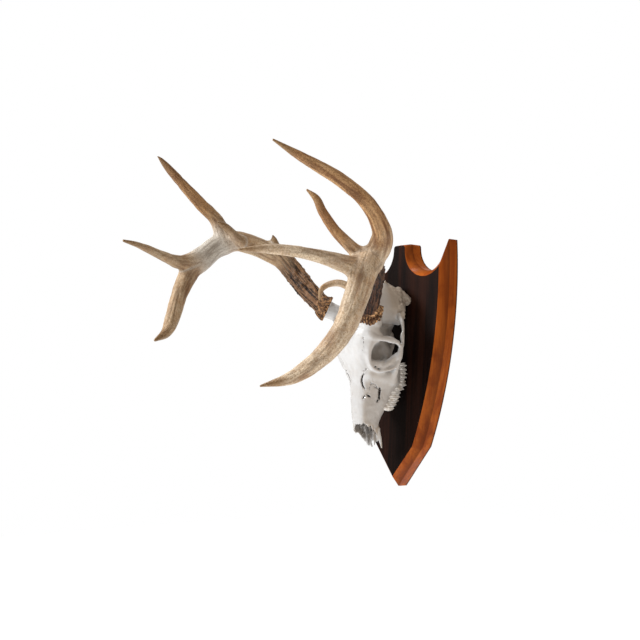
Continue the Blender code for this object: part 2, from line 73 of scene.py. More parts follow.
# Studio
ROOM_LIGHT = (0.39, 0.335, 0.285)
BACKDROP_LIGHT = (1.0, 1.0, 1.0)
BACKDROP_EDGE = (0.72, 0.88)
FLOOR_DROP = 1.1
FLOOR_REACH = 6.0
LIT_MIDDLE = (0.0, -0.12, 0.05)
LAMPS = {
    # place, width, watts
    "key": ((-1.0, -1.8, 0.9), 0.7, 50.0),
    "side_fill": ((2.0, -0.8, 0.9), 1.2, 1.8),
    "top_light": ((-0.5, -0.7, 2.3), 0.8, 26.0),
}

# Board, read from the frame, with its outline's own sizes
BOARD_LOW, BOARD_HIGH = (Vector(corner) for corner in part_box("plaque"))
BOARD_HEIGHT = BOARD_HIGH.z - BOARD_LOW.z
BOARD_THICKNESS = BOARD_HIGH.y - BOARD_LOW.y
BOARD_HALF_WIDTH = (BOARD_HIGH.x - BOARD_LOW.x) / 2
BEVEL_INSET = 0.0095
BEVEL_DEPTH = 0.0135
SIDE_RADIUS = 0.700
WIDEST_BELOW_TOP = 0.065
POINT_LENGTH = 0.065
NOTCH_RADIUS = 0.0393
NOTCH_CENTRE_OUT = 0.0561
NOTCH_CENTRE_BELOW_TOP = 0.006
STEM_BELOW_TOP = 0.0022
STEM_ROUND = 0.006
STEM_ROUND_STEPS = 4
STEM_BEVEL_SHARE = 0.3
NOTCH_BEVEL_SHARE = 0.42
SIDE_STEPS = 70
NOTCH_STEPS = 56
EDGE_ROUND = 0.0006
BACK_RIM = 0.0022
BACK_RIM_FADE = 0.0008

# Skull and antler seats
CREST_BELOW_TOP = 0.060
CONTACT_GAP = 0.0003
TEETH_PER_SIDE = 6
TOOTH_ROW_START = 0.129
TOOTH_ROW_LENGTH = 0.072
SNOUT_WALL = 0.0030
SEAT_OUT = 0.050
SEAT_PROUD = 0.099
SEAT_DOWN = {1: 0.058, -1: 0.050}
SEAT_AXIS = Vector((0.55, 0.74, 0.39)).normalized()
PEDICLE_RADIUS = 0.0130
BURR_RADIUS = 0.0175

# Fineness of the surfaces
ANTLER_STEP = 0.00115
SKULL_STEP = 0.00125
SKULL_CURVE_STEP = 0.004
ANTLER_CURVE_STEP = 0.003
CENTRE_LINE_STEP = 0.0025

# How softly things blend where they meet
PEDICLE_BLEND = 0.012
FACE_BLEND = 0.012
CAVITY_BLEND = 0.002
SLIT_BLEND = 0.0006
SCROLL_BLEND = 0.0012
LOBE_BLEND = 0.0014
FORK_BLEND = 0.010
BURR_BLEND = 0.0009

FAR_AWAY = 1.0
HALVINGS = 50
CHUNK = 8000
BOTH_SIDES = (1, -1)
FACE_Y = BOARD_LOW.y
CREST_Z = BOARD_HIGH.z - CREST_BELOW_TOP


# Numbers that vary over space


def lattice(ix, iy, iz, seed):
    """Value from 0 to 1 that looks random but always belongs to the same grid place."""
    mixed = (ix * 73856093) ^ (iy * 19349663) ^ (iz * 83492791) ^ (seed * 2654435761)
    mixed = (mixed ^ (mixed >> 13)) & 0xFFFFFFFF
    mixed = (mixed * 1274126177) & 0xFFFFFFFF
    mixed = mixed ^ (mixed >> 16)
    return (mixed & 0xFFFFFF) / float(0xFFFFFF)


def grain(points, size, seed=1):
    """Smooth random value from 0 to 1 at rows of points, for cells of a size."""
    scaled = points / np.asarray(size, dtype=float)
    cell = np.floor(scaled).astype(np.int64)
    share = scaled - cell
    share = share * share * (3 - 2 * share)
    total = 0.0
    for i, j, k in itertools.product((0, 1), repeat=3):
        weight = (
            np.where(i, share[:, 0], 1 - share[:, 0])
            * np.where(j, share[:, 1], 1 - share[:, 1])
            * np.where(k, share[:, 2], 1 - share[:, 2])
        )
        total = total + weight * lattice(cell[:, 0] + i, cell[:, 1] + j, cell[:, 2] + k, seed)
    return total


def layered_grain(points, size, layers=3, seed=1):
    """Grain over finer and fainter grain."""
    size = np.asarray(size, dtype=float)
    total = np.zeros(len(points))
    weight = 1.0
    whole = 0.0
    for layer in range(layers):
        total += weight * grain(points, size, seed + layer)
        whole += weight
        size = size / 2
        weight *= 0.55
    return total / whole


def step_between(value, low, high):
    """0 at low, 1 at high, smooth between; low may be the larger."""
    share = np.clip((value - low) / (high - low), 0.0, 1.0)
    return share * share * (3 - 2 * share)


# Distance fields and their surfaces


class Field:
    """Signed distance on a grid, negative inside, built up from simple bodies."""

    def __init__(self, low, high, step, first=None):
        self.low = np.array(low, dtype=float)
        self.step = step
        self.first = first
        self.count = [int(math.ceil((b - a) / step - 1e-6)) + 1 for a, b in zip(low, high)]
        self.value = np.full(self.count, FAR_AWAY, dtype=np.float32)

    def span(self, low, high):
        first = np.floor((np.array(low) - self.low) / self.step).astype(int)
        last = np.ceil((np.array(high) - self.low) / self.step).astype(int) + 1
        return np.clip(first, 0, self.count), np.clip(last, 0, self.count)

    def window(self, low, high):
        """Slices and point coordinates of the grid inside a box."""
        first, last = self.span(low, high)
        axes = [
            (self.low[k] + self.step * np.arange(first[k], last[k])).astype(np.float32)
            for k in range(3)
        ]
        grid = np.meshgrid(*axes, indexing="ij", sparse=True)
        return tuple(slice(a, b) for a, b in zip(first, last)), grid

    def patch(self, low, high):
        """A field on part of this one's grid."""
        first, last = self.span(low, high)
        corner = self.low + self.step * first
        end = self.low + self.step * (last - 1)
        return Field(corner, end, self.step, first)

    def where(self, patch):
        return tuple(slice(a, a + n) for a, n in zip(patch.first, patch.count))

    def join(self, patch, blend):
        here = self.where(patch)
        self.value[here] = smooth_min(self.value[here], patch.value, blend)

    def cut(self, patch, blend):
        here = self.where(patch)
        self.value[here] = -smooth_min(-self.value[here], patch.value, blend)


def smooth_min(a, b, blend):
    overlap = np.maximum(blend - np.abs(a - b), 0.0) / blend
    return np.minimum(a, b) - overlap * overlap * (blend / 4)


def add_limb(field, points, margin=0.012):
    """Round-cone chain through (x, y, z, radius) points."""
    for start, end in itertools.pairwise(points):
        a = np.array(start[:3], dtype=float)
        b = np.array(end[:3], dtype=float)
        reach = max(start[3], end[3]) + margin
        where, (x, y, z) = field.window(np.minimum(a, b) - reach, np.maximum(a, b) + reach)
        if 0 in field.value[where].shape:
            continue
        along = b - a
        share = (x - a[0]) * along[0] + (y - a[1]) * along[1] + (z - a[2]) * along[2]
        share = np.clip(share / max(along @ along, 1e-12), 0.0, 1.0)
        dx = x - a[0] - share * along[0]
        dy = y - a[1] - share * along[1]
        dz = z - a[2] - share * along[2]
        radius = start[3] + share * (end[3] - start[3])
        distance = np.sqrt(dx * dx + dy * dy + dz * dz) - radius
        field.value[where] = np.minimum(field.value[where], distance)


def add_ellipsoid(field, centre, radii, margin=0.012):
    centre = np.array(centre, dtype=float)
    radii = np.array(radii, dtype=float)
    where, (x, y, z) = field.window(centre - radii - margin, centre + radii + margin)
    if 0 in field.value[where].shape:
        return
    px, py, pz = (x - centre[0]), (y - centre[1]), (z - centre[2])
    unit = np.sqrt((px / radii[0]) ** 2 + (py / radii[1]) ** 2 + (pz / radii[2]) ** 2)
    slope = np.sqrt(
        (px / radii[0] ** 2) ** 2 + (py / radii[1] ** 2) ** 2 + (pz / radii[2] ** 2) ** 2
    )
    distance = unit * (unit - 1.0) / np.maximum(slope, 1e-9)
    field.value[where] = np.minimum(field.value[where], distance)


def curve(points, spacing):
    """Catmull-Rom curve through rows of numbers, sampled about every spacing."""
    rows = np.array(points, dtype=float)
    rows = np.vstack([2 * rows[0] - rows[1], rows, 2 * rows[-1] - rows[-2]])
    samples = []
    for i in range(1, len(rows) - 2):
        p0, p1, p2, p3 = rows[i - 1:i + 3]
        pieces = max(2, int(math.ceil(np.linalg.norm((p2 - p1)[:3]) / spacing)))
        for t in np.arange(pieces) / pieces:
            samples.append(0.5 * (
                2 * p1 + (p2 - p0) * t
                + (2 * p0 - 5 * p1 + 4 * p2 - p3) * t ** 2
                + (3 * p1 - p0 - 3 * p2 + p3) * t ** 3
            ))
    samples.append(rows[-2])
    return np.array(samples)


def surface(field):
    """Points and four-sided faces of the zero level, one point for each mixed cell."""
    value = field.value
    shape = np.array(value.shape)
    inside = value < 0
    any_in = np.zeros(shape - 1, dtype=bool)
    all_in = np.ones(shape - 1, dtype=bool)
    for i, j, k in itertools.product((0, 1), repeat=3):
        part = inside[i:shape[0] - 1 + i, j:shape[1] - 1 + j, k:shape[2] - 1 + k]
        any_in |= part
        all_in &= part
    cells = np.argwhere(any_in & ~all_in)
    strides = np.array([shape[1] * shape[2], shape[2], 1])
    flat = value.ravel()
    base = cells @ strides
    total = np.zeros((len(cells), 3))
    hits = np.zeros(len(cells))
    for axis in range(3):
        others = [k for k in range(3) if k != axis]
        for i, j in itertools.product((0, 1), repeat=2):
            offset = np.zeros(3)
            offset[others[0]] = i
            offset[others[1]] = j
            start = flat[base + int(offset @ strides)]
            end = flat[base + int(offset @ strides) + strides[axis]]
            crossed = (start < 0) != (end < 0)
            share = np.where(crossed, start / np.where(crossed, start - end, 1.0), 0.0)
            point = np.tile(offset, (len(cells), 1))
            point[:, axis] = share
            total += point * crossed[:, None]
            hits += crossed
    points = field.low + field.step * (cells + total / hits[:, None])

    order = np.full(int(np.prod(shape)), -1, dtype=np.int32)
    order[base] = np.arange(len(cells))
    faces = []
    for axis in range(3):
        turn_a = strides[(axis + 1) % 3]
        turn_b = strides[(axis + 2) % 3]
        first = base[(cells[:, (axis + 1) % 3] > 0) & (cells[:, (axis + 2) % 3] > 0)]
        start = flat[first] < 0
        end = flat[first + strides[axis]] < 0
        for leaving in (True, False):
            edge = first[(start == leaving) & (end != leaving)]
            ring = [edge, edge - turn_a, edge - turn_a - turn_b, edge - turn_b]
            if not leaving:
                ring.reverse()
            faces.append(np.stack([order[r] for r in ring], 1))
    faces = np.concatenate(faces)
    return points, faces[(faces >= 0).all(1)]


def keep_main_body(points, faces):
    """Drop loose crumbs that no face joins to the largest body."""
    label = np.arange(len(points))
    while True:
        lowest = label[faces].min(1)
        fresh = label.copy()
        for k in range(4):
            np.minimum.at(fresh, faces[:, k], lowest)
        fresh = fresh[fresh]
        if (fresh == label).all():
            break
        label = fresh
    names, sizes = np.unique(label, return_counts=True)
    kept = label == names[np.argmax(sizes)]
    index = np.cumsum(kept) - 1
    return points[kept], index[faces[kept[faces].all(1)]]


def point_normals(points, faces):
    corner = points[faces]
    across = np.cross(corner[:, 2] - corner[:, 0], corner[:, 3] - corner[:, 1])
    normals = np.zeros_like(points)
    for k in range(4):
        np.add.at(normals, faces[:, k], across)
    return normals / np.maximum(np.linalg.norm(normals, axis=1), 1e-12)[:, None]


def nearest_spot(points, spots, radii=0.0):
    """Number of the ball nearest to each point, and the gap to it."""
    number = np.empty(len(points), dtype=int)
    gap = np.empty(len(points))
    for first in range(0, len(points), CHUNK):
        chunk = points[first:first + CHUNK]
        distance = np.linalg.norm(chunk[:, None, :] - spots[None, :, :], axis=2) - radii
        number[first:first + CHUNK] = distance.argmin(1)
        gap[first:first + CHUNK] = distance.min(1)
    return number, gap


def trim(points, place, normal):
    """Press what lies beyond a plane flat onto it."""
    beyond = (points - np.array(place)) @ np.array(normal)
    return points - np.maximum(beyond, 0.0)[:, None] * np.array(normal)


def keep_inside(points, margin=0.003):
    """Ease what comes near the faces of the frame's box back within them."""
    for sign, bounds in ((-1, CAD_BOX[0]), (1, CAD_BOX[1])):
        room = sign * (np.array(bounds) - points) - CONTACT_GAP
        eased = margin * np.exp(np.minimum(room / margin - 1, 0))
        points = points - sign * np.where(room < margin, eased - room, 0.0)
    return points


def in_scene(name, data):
    """A new object in the scene, of a mesh, a light or a camera."""
    thing = bpy.data.objects.new(name, data)
    bpy.context.scene.collection.objects.link(thing)
    return thing


def add_piece(name, points, faces, material, stands_for):
    mesh = bpy.data.meshes.new(name)
    mesh.from_pydata(points.tolist(), [], faces.tolist())
    mesh.update()
    mesh.materials.append(material)
    mesh.polygons.foreach_set("use_smooth", [True] * len(mesh.polygons))
    piece = in_scene(name, mesh)
    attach(piece, "root")
    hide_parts(stands_for)
    return piece


def store(piece, name, values):
    """Give each point of a piece a value that its material reads by name."""
    layer = piece.data.attributes.new(name, "FLOAT", "POINT")
    layer.data.foreach_set("value", np.asarray(values, dtype=np.float32))


# Materials


class Wire:
    """A socket in a material, on which sums are written as sums."""

    def __init__(self, paint, socket):
        self.paint = paint
        self.socket = socket

    def sum(self, operation, *values):
        return self.paint.node("ShaderNodeMath", {"operation": operation}, dict(enumerate(values)))

    def __add__(self, other):
        return self.sum("ADD", self, other)

    def __radd__(self, other):
        return self.sum("ADD", other, self)

    def __sub__(self, other):
        return self.sum("SUBTRACT", self, other)

    def __rsub__(self, other):
        return self.sum("SUBTRACT", other, self)

    def __mul__(self, other):
        return self.sum("MULTIPLY", self, other)

    def __rmul__(self, other):
        return self.sum("MULTIPLY", other, self)

    def rising(self, low, high):
        """0 below low, 1 above high, smooth between."""
        settings = {"interpolation_type": "SMOOTHSTEP"}
        return self.paint.node("ShaderNodeMapRange", settings,
                               {"Value": self, "From Min": low, "From Max": high})


class Nodes:
    """A node tree under construction."""

    def __init__(self, tree):
        self.tree = tree

    def node(self, kind, settings=None, sockets=None, out=0):
        node = self.tree.nodes.new(kind)
        for name, value in (settings or {}).items():
            if name == "stops":
                self.set_stops(node.color_ramp, value)
            elif name == "interpolation":
                node.color_ramp.interpolation = value
            else:
                setattr(node, name, value)
        for name, value in (sockets or {}).items():
            self.plug(node.inputs[name], value)
        return Wire(self, node.outputs[out])

    def set_stops(self, ramp, stops):
        while len(ramp.elements) < len(stops):
            ramp.elements.new(0.5)
        for element, (place, colour) in zip(ramp.elements, stops):
            element.position = place
            element.color = (*colour, 1.0)

    def plug(self, socket, value):
        if isinstance(value, Wire):
            self.tree.links.new(value.socket, socket)
        elif socket.type == "RGBA" and len(value) == 3:
            socket.default_value = (*value, 1.0)
        else:
            socket.default_value = value


class Paint(Nodes):
    """A material under construction."""

    def __init__(self, name, **constants):
        self.material = bpy.data.materials.new(name)
        self.material.use_nodes = True
        super().__init__(self.material.node_tree)
        self.shader = self.tree.nodes["Principled BSDF"]
        for socket, value in constants.items():
            self.shader.inputs[socket.replace("_", " ")].default_value = value

    def place(self):
        return self.node("ShaderNodeTexCoord", out=3)

    def stretch(self, vector, by):
        return self.node("ShaderNodeMapping", {}, {"Vector": vector, "Scale": by})

    def noise(self, vector, scale, detail=3.0, rough=0.55, twist=0.0):
        return self.node("ShaderNodeTexNoise", {}, {
            "Vector": vector, "Scale": scale, "Detail": detail, "Roughness": rough,
            "Distortion": twist,
        })

    def cells(self, vector, scale, feature="F1"):
        return self.node("ShaderNodeTexVoronoi", {"feature": feature},
                         {"Vector": vector, "Scale": scale})

    def told(self, name):
        """Value that the mesh carries under a name."""
        return self.node("ShaderNodeAttribute", {"attribute_name": name}, out=2)

    def blend(self, share, first, second, kind="MIX"):
        settings = {"data_type": "RGBA", "blend_type": kind}
        return self.node("ShaderNodeMix", settings, {0: share, 6: first, 7: second}, out=2)

    def bump(self, height, distance, strength=1.0, under=None):
        sockets = {"Height": height, "Distance": distance, "Strength": strength}
        if under is not None:
            sockets["Normal"] = under
        return self.node("ShaderNodeBump", {}, sockets)

    def finish(self, **ends):
        """Plug the named sockets of the shader and hand over the material."""
        for socket, value in ends.items():
            self.plug(self.shader.inputs[socket.replace("_", " ")], value)
        return self.material


def bleached_bone():
    paint = Paint("bleached_bone", IOR=1.45, Coat_Roughness=0.10)
    where = paint.place()
    clouds = paint.noise(where, 26.0, 4.0)
    pores = paint.noise(where, 620.0, 2.0)
    cracks = paint.cells(paint.stretch(where, (1.0, 1.0, 0.35)), 150.0, "DISTANCE_TO_EDGE")
    hairline = 1 - cracks.rising(0.0, 0.012)
    worn = paint.told("worn")
    deep = paint.told("deep")
    white = paint.blend(clouds.rising(0.35, 0.70), (0.535, 0.540, 0.545), (0.595, 0.608, 0.620))
    # Aged colour for wear, with painted shade on the flanks that face sideways
    aged_and_side_shaded = paint.blend(worn * 0.80, white, (0.37, 0.29, 0.205))
    lined = paint.blend(hairline * clouds.rising(0.52, 0.66) * 0.30, aged_and_side_shaded, (0.30, 0.24, 0.18))
    # Painted shade in the nose, the eye sockets and the hollow behind each
    cavity_shaded = paint.blend(deep, lined, (0.085, 0.058, 0.036))
    ragged = paint.noise(where, 520.0, 3.0)
    seam = (1 - paint.told("seam").rising(0.1, 0.7)) * clouds.rising(0.30, 0.55)
    seamed = paint.blend(seam * 0.6, cavity_shaded, (0.27, 0.22, 0.17))
    dots = (1 - (paint.told("speckle") * 0.8 + ragged * 5.0).rising(2.5, 3.0)) * 0.85
    dotted = paint.blend(dots, seamed, (0.060, 0.050, 0.045))
    # Slits and pits painted near-black: painted shade inside the cracks and holes
    slit = 1 - (paint.told("slit") + ragged * 1.3).rising(0.45, 0.95)
    colour = paint.blend(slit * 0.95, dotted, (0.020, 0.016, 0.014))
    lumps = paint.bump(clouds, 0.0012, 0.5)
    skin = paint.bump(pores * 0.6 + hairline * -0.5, 0.00025, 0.35, lumps)
    rough = 0.26 + clouds * 0.16 + worn * 0.3
    gloss = 0.75 - worn * 0.6
    return paint.finish(Base_Color=colour, Roughness=rough, Normal=skin, Coat_Weight=gloss)


def tooth_enamel():
    paint = Paint("tooth_enamel", IOR=1.55, Coat_Roughness=0.12, Coat_Weight=0.5)
    where = paint.place()
    ribs = paint.noise(paint.stretch(where, (1.0, 0.25, 1.0)), 420.0, 3.0)
    stain = paint.noise(where, 160.0, 3.0).rising(0.42, 0.70)
    enamel = paint.blend(stain * 0.55, (0.84, 0.82, 0.78), (0.40, 0.31, 0.21))
    # Painted shade in the gullies between the lobes
    colour = paint.blend(paint.told("crevice") * 0.8, enamel, (0.13, 0.09, 0.06))
    skin = paint.bump(ribs, 0.0003, 0.5)
    return paint.finish(Base_Color=colour, Roughness=0.30 + stain * 0.15, Normal=skin)


def weathered_antler(name, painted_dimming, web, root_highlight):
    """Antler from its dark root to its points rubbed pale, multiplied by a colour that paints shade
    over it, with a pale web at the forks.
    """
    paint = Paint(name, IOR=1.45, Specular_IOR_Level=0.30, Coat_Roughness=0.30)
    where = paint.place()
    streak = paint.told("streak")
    base = paint.told("base")
    tip = paint.told("tip")
    stain = paint.told("stain")
    pale = paint.told("pale")
    gold = paint.told("gold")
    fine = paint.noise(where, 300.0, 4.0, 0.65)
    blotch = paint.noise(where, 34.0, 4.0, 0.6)
    grit = paint.noise(where, 780.0, 2.0, 0.6)
    fleck = paint.cells(where, 520.0)
    rope = paint.node("ShaderNodeCombineXYZ", {}, {
        "X": paint.told("across"), "Y": paint.told("around"), "Z": paint.told("along") * 0.07,
    })
    strands = paint.noise(rope, 420.0, 3.0, 0.62, 0.4)

    # Tan and brown body
    tan = paint.blend(fine.rising(0.34, 0.58), (0.50, 0.380, 0.250), (0.79, 0.675, 0.510))
    mixed = (fine * 0.45 + streak * 0.6 + grit * 0.25).rising(0.48, 0.82)
    brown = paint.blend(mixed, (0.58, 0.355, 0.170), (0.235, 0.105, 0.038))
    share = (stain * 0.85 + blotch * 0.9 - 0.45 + streak * 0.35 - 0.15).rising(0.05, 0.85)
    body = paint.blend(share, tan, brown)
    browned = paint.blend(stain.rising(0.98, 1.25) * 0.60, body, (0.26, 0.120, 0.046))
    greyed = paint.blend(pale * 0.92, browned, web)

    # Veins, furrows, grit, score marks and flecks
    veins = (streak * 0.7 + fine * 0.45).rising(0.55, 0.85) * (0.28 - pale * 0.24)
    streaked = paint.blend(veins, greyed, (0.165, 0.080, 0.034))
    furrowed = paint.blend(paint.told("groove") * 0.55, streaked, (0.085, 0.040, 0.018))
    gritted = paint.blend(grit.rising(0.50, 0.66) * 0.55, furrowed, (0.17, 0.090, 0.042))
    single = paint.told("single") * (1 - pale * 0.8)
    scores = (1 - strands.rising(0.34, 0.47)) * single * 0.34
    scored = paint.blend(scores, gritted, (0.19, 0.105, 0.052))
    flecked = paint.blend(fleck.rising(0.34, 0.12) * 0.40, scored, (0.22, 0.125, 0.065))

    # Dark root with a painted highlight on its lit side, beads of the burr with painted glints, and
    # points rubbed pale
    lit = paint.blend(gold * root_highlight, (0.055, 0.0150, 0.0050), (0.56, 0.330, 0.180))
    bark = (strands * 0.75 + fine * 0.25).rising(0.42, 0.58)
    dark_root = paint.blend(bark, (0.009, 0.0030, 0.0012), lit)
    rooted = paint.blend((base + fine * 0.3 - 0.15).rising(0.10, 0.85), flecked, dark_root)
    shell = paint.blend(fine.rising(0.35, 0.68), (0.020, 0.0070, 0.0030), (0.13, 0.050, 0.017))
    # Painted glints on the lit side of the burr's beads
    glint = gold * (0.10 + fine.rising(0.44, 0.60) * 0.90)
    beads = paint.blend(glint, shell, (0.80, 0.460, 0.215))
    crowned = paint.blend(paint.told("bead"), rooted, beads)
    ivory = paint.blend(fine.rising(0.35, 0.70), (0.205, 0.112, 0.044), (0.36, 0.235, 0.115))
    pointed = paint.blend(tip.rising(0.25, 0.95) * 0.8, crowned, ivory)
    # Painted shade: the whole antler darkened by a colour
    colour = paint.blend(1.0, pointed, painted_dimming, "MULTIPLY")

    weave = paint.bump(strands.rising(0.32, 0.62) * (base + single * 0.3), 0.0013, 0.7)
    skin = paint.bump(fine * 0.7 + streak * 0.5, 0.0006, 0.45, weave)
    rough = 0.62 - tip * 0.22 - blotch * 0.12
    gloss = tip * 0.10 + 0.01
    return paint.finish(Base_Color=colour, Roughness=rough, Normal=skin, Coat_Weight=gloss)


def dark_walnut():
    paint = Paint("dark_walnut", IOR=1.45, Specular_IOR_Level=0.06)
    where = paint.place()
    bands = paint.noise(paint.stretch(where, (1.0, 1.0, 0.045)), 46.0, 5.0, 0.6, 0.4)
    fibres = paint.noise(paint.stretch(where, (1.0, 1.0, 0.02)), 620.0, 3.0)
    pores = paint.noise(paint.stretch(where, (1.0, 1.0, 0.05)), 1500.0, 2.0).rising(0.62, 0.74)
    stripe = paint.blend(bands.rising(0.40, 0.66), (0.0034, 0.0014, 0.0010), (0.0210, 0.0066, 0.0036))
    fibred = paint.blend(fibres.rising(0.50, 0.75) * 0.35, stripe, (0.020, 0.0068, 0.0038))
    colour = paint.blend(pores * 0.6, fibred, (0.002, 0.001, 0.001))
    skin = paint.bump(fibres * 0.5 - pores, 0.00022, 0.5)
    return paint.finish(Base_Color=colour, Roughness=0.46 + bands * 0.14, Normal=skin)


def varnished_edge():
    paint = Paint("varnished_edge", IOR=1.45, Specular_IOR_Level=0.05, Coat_Roughness=0.15)
    where = paint.place()
    layers = paint.noise(paint.stretch(where, (1.0, 1.0, 0.06)), 60.0, 4.0, 0.55, 0.6)
    fibres = paint.noise(paint.stretch(where, (1.0, 1.0, 0.03)), 520.0, 3.0)
    blotch = paint.noise(where, 30.0, 3.0)
    amber = paint.blend(layers.rising(0.34, 0.66), (0.262, 0.053, 0.0065), (0.430, 0.110, 0.0140))
    fibred = paint.blend(fibres.rising(0.46, 0.72) * 0.45, amber, (0.190, 0.028, 0.003))
    shaded = paint.blend(blotch.rising(0.45, 0.72) * 0.60, fibred, (0.145, 0.024, 0.003))
    lined = paint.blend(paint.told("seam") * 0.65, shaded, (0.085, 0.020, 0.005))
    rim = paint.told("rim")
    colour = paint.blend(rim * 0.9, lined, (0.050, 0.013, 0.004))
    skin = paint.bump(fibres, 0.00025, 0.35)
    rough = 0.34 + fibres * 0.12
    gloss = 0.07 - rim * 0.07
    return paint.finish(Base_Color=colour, Roughness=rough, Normal=skin, Coat_Weight=gloss)


# Board


def side_x(height, inset):
    """Half width of the board at a height above its tip."""
    centre_x = BOARD_HALF_WIDTH - SIDE_RADIUS
    centre_z = BOARD_HEIGHT - WIDEST_BELOW_TOP
    return centre_x + math.sqrt((SIDE_RADIUS - inset) ** 2 - (height - centre_z) ** 2)


def notch_circle(inset):
    """Height of the notch's centre and its radius."""
    radius = NOTCH_RADIUS + inset * NOTCH_BEVEL_SHARE
    return BOARD_HEIGHT - NOTCH_CENTRE_BELOW_TOP - inset * (1 - NOTCH_BEVEL_SHARE), radius


def barb_point(inset):
    """Where the side arc meets the notch circle, or the board's top edge."""
    notch_z, notch_r = notch_circle(inset)
    low = notch_z - notch_r
    high = BOARD_HEIGHT - inset
    for _ in range(HALVINGS):
        middle = (low + high) / 2
        reach = math.sqrt(max(notch_r ** 2 - (middle - notch_z) ** 2, 0.0))
        if NOTCH_CENTRE_OUT + reach < side_x(middle, inset) or middle > notch_z:
            low = middle
        else:
            high = middle
    return side_x(low, inset), low


def half_outline(inset):
    """Right half of the outline, from the tip up to the stem's top corner."""
    tip_slope = side_x(POINT_LENGTH, 0.0) / POINT_LENGTH
    tip_rise = inset * math.sqrt(1 + tip_slope ** 2) / tip_slope
    barb_x, barb_z = barb_point(inset)
    points = [(0.0, tip_rise)]
    for i in range(SIDE_STEPS + 1):
        z = POINT_LENGTH + (barb_z - POINT_LENGTH) * i / SIDE_STEPS
        points.append((side_x(z, inset), z))
    notch_z, notch_r = notch_circle(inset)
    start = math.atan2(barb_z - notch_z, barb_x - NOTCH_CENTRE_OUT)
    top_z = BOARD_HEIGHT - STEM_BELOW_TOP - inset * STEM_BEVEL_SHARE
    end = math.pi - math.asin((top_z - STEM_ROUND - notch_z) / notch_r)
    sweep = start - (end - 2 * math.pi)
    for i in range(NOTCH_STEPS + 1):
        angle = start - sweep * i / NOTCH_STEPS
        x = NOTCH_CENTRE_OUT + notch_r * math.cos(angle)
        points.append((x, notch_z + notch_r * math.sin(angle)))
    begin = Vector(points[-1])
    corner = Vector((NOTCH_CENTRE_OUT - math.sqrt(notch_r ** 2 - (top_z - notch_z) ** 2), top_z))
    last = corner - Vector((STEM_ROUND, 0.0))
    for i in range(1, STEM_ROUND_STEPS + 1):
        t = i / STEM_ROUND_STEPS
        points.append(tuple(begin * (1 - t) ** 2 + corner * 2 * t * (1 - t) + last * t ** 2))
    return points


def board_layers():
    """Rings from back to front: inset, depth from the back, dark back rim, seam of the bevel."""
    bevel_back = BOARD_THICKNESS - BEVEL_DEPTH
    turn = EDGE_ROUND * Vector((BEVEL_INSET, BEVEL_DEPTH)).normalized()
    return [
        (EDGE_ROUND, 0.0, 1, 0),
        (EDGE_ROUND * 0.3, EDGE_ROUND * 0.3, 1, 0),
        (0.0, EDGE_ROUND, 1, 0),
        (0.0, BACK_RIM, 1, 0),
        (0.0, BACK_RIM + BACK_RIM_FADE, 0, 0),
        (0.0, bevel_back - 2 * EDGE_ROUND, 0, 0),
        (0.0, bevel_back - EDGE_ROUND, 0, 0),
        (turn.x, bevel_back + turn.y, 0, 1),
        (2 * turn.x, bevel_back + 2 * turn.y, 0, 1),
        (BEVEL_INSET - turn.x, BOARD_THICKNESS - turn.y, 0, 0),
        (BEVEL_INSET + EDGE_ROUND * 0.6, BOARD_THICKNESS, 0, 0),
        (BEVEL_INSET + EDGE_ROUND * 1.4, BOARD_THICKNESS, 0, 0),
    ]


def build_board(face_wood, edge_wood):
    mesh = bmesh.new()
    seam = mesh.verts.layers.float.new("seam")
    rim = mesh.verts.layers.float.new("rim")
    rings = []
    for inset, depth, on_rim, on_seam in board_layers():
        right = half_outline(inset)
        ring = []
        for x, z in right + [(-x, z) for x, z in reversed(right[1:])]:
            vert = mesh.verts.new((x, BOARD_HIGH.y - depth, z + BOARD_LOW.z))
            vert[seam] = on_seam
            vert[rim] = on_rim
            ring.append(vert)
        rings.append(ring)
    count = len(rings[0])
    for number, (lower, upper) in enumerate(itertools.pairwise(rings)):
        for i in range(count):
            j = (i + 1) % count
            face = mesh.faces.new((lower[i], lower[j], upper[j], upper[i]))
            face.smooth = True
            face.material_index = 0 if number == len(rings) - 2 else 1
    for ring in (rings[0][::-1], rings[-1]):
        before = ring[-1:] + ring[:-1]
        cap = [vert for vert, other in zip(ring, before) if (vert.co - other.co).length > 1e-6]
        for corners in tessellate_polygon([[vert.co for vert in cap]]):
            face = mesh.faces.new([cap[k] for k in corners])
            face.material_index = 0
    bmesh.ops.remove_doubles(mesh, verts=mesh.verts, dist=1e-6)
    bmesh.ops.recalc_face_normals(mesh, faces=mesh.faces)
    data = bpy.data.meshes.new("wall_board")
    mesh.to_mesh(data)
    mesh.free()
    data.materials.append(face_wood)
    data.materials.append(edge_wood)
    board = in_scene("wall_board", data)
    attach(board, "root")
    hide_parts("plaque")
    return board


# Skull: places are side, proud and down from the midline, the board's face and the crest

SKULL_ROOM = ((-0.075, 0.125, 0.275), (0.075, -0.012, -0.020))
FACE_SECTIONS = (
    # down, back edge, front edge, half width at the back, half width at the front
    (0.076, 0.030, 0.098, 0.024, 0.034),
    (0.098, 0.028, 0.099, 0.024, 0.0380),
    (0.118, 0.022, 0.095, 0.028, 0.0375),
    (0.132, 0.013, 0.090, 0.0365, 0.0340),
    (0.150, 0.010, 0.084, 0.0385, 0.026),
    (0.163, 0.012, 0.0815, 0.0365, 0.0235),
    (0.174, 0.020, 0.081, 0.0305, 0.0215),
    (0.190, 0.028, 0.080, 0.0260, 0.0195),
    (0.203, 0.033, 0.079, 0.0215, 0.0185),
    (0.214, 0.038, 0.078, 0.0185, 0.0175),
    (0.236, 0.040, 0.0745, 0.016, 0.0155),
    (0.262, 0.038, 0.066, 0.0135, 0.013),
)
SECTION_POWER = 3.2
SNOUT_CAVITY_FROM = 4
BREAK_LINE = (
    # proud, how far down the nose is left
    (0.036, 0.254), (0.045, 0.242), (0.055, 0.2295), (0.066, 0.2245), (0.074, 0.2225),
    (0.085, 0.2225),
)

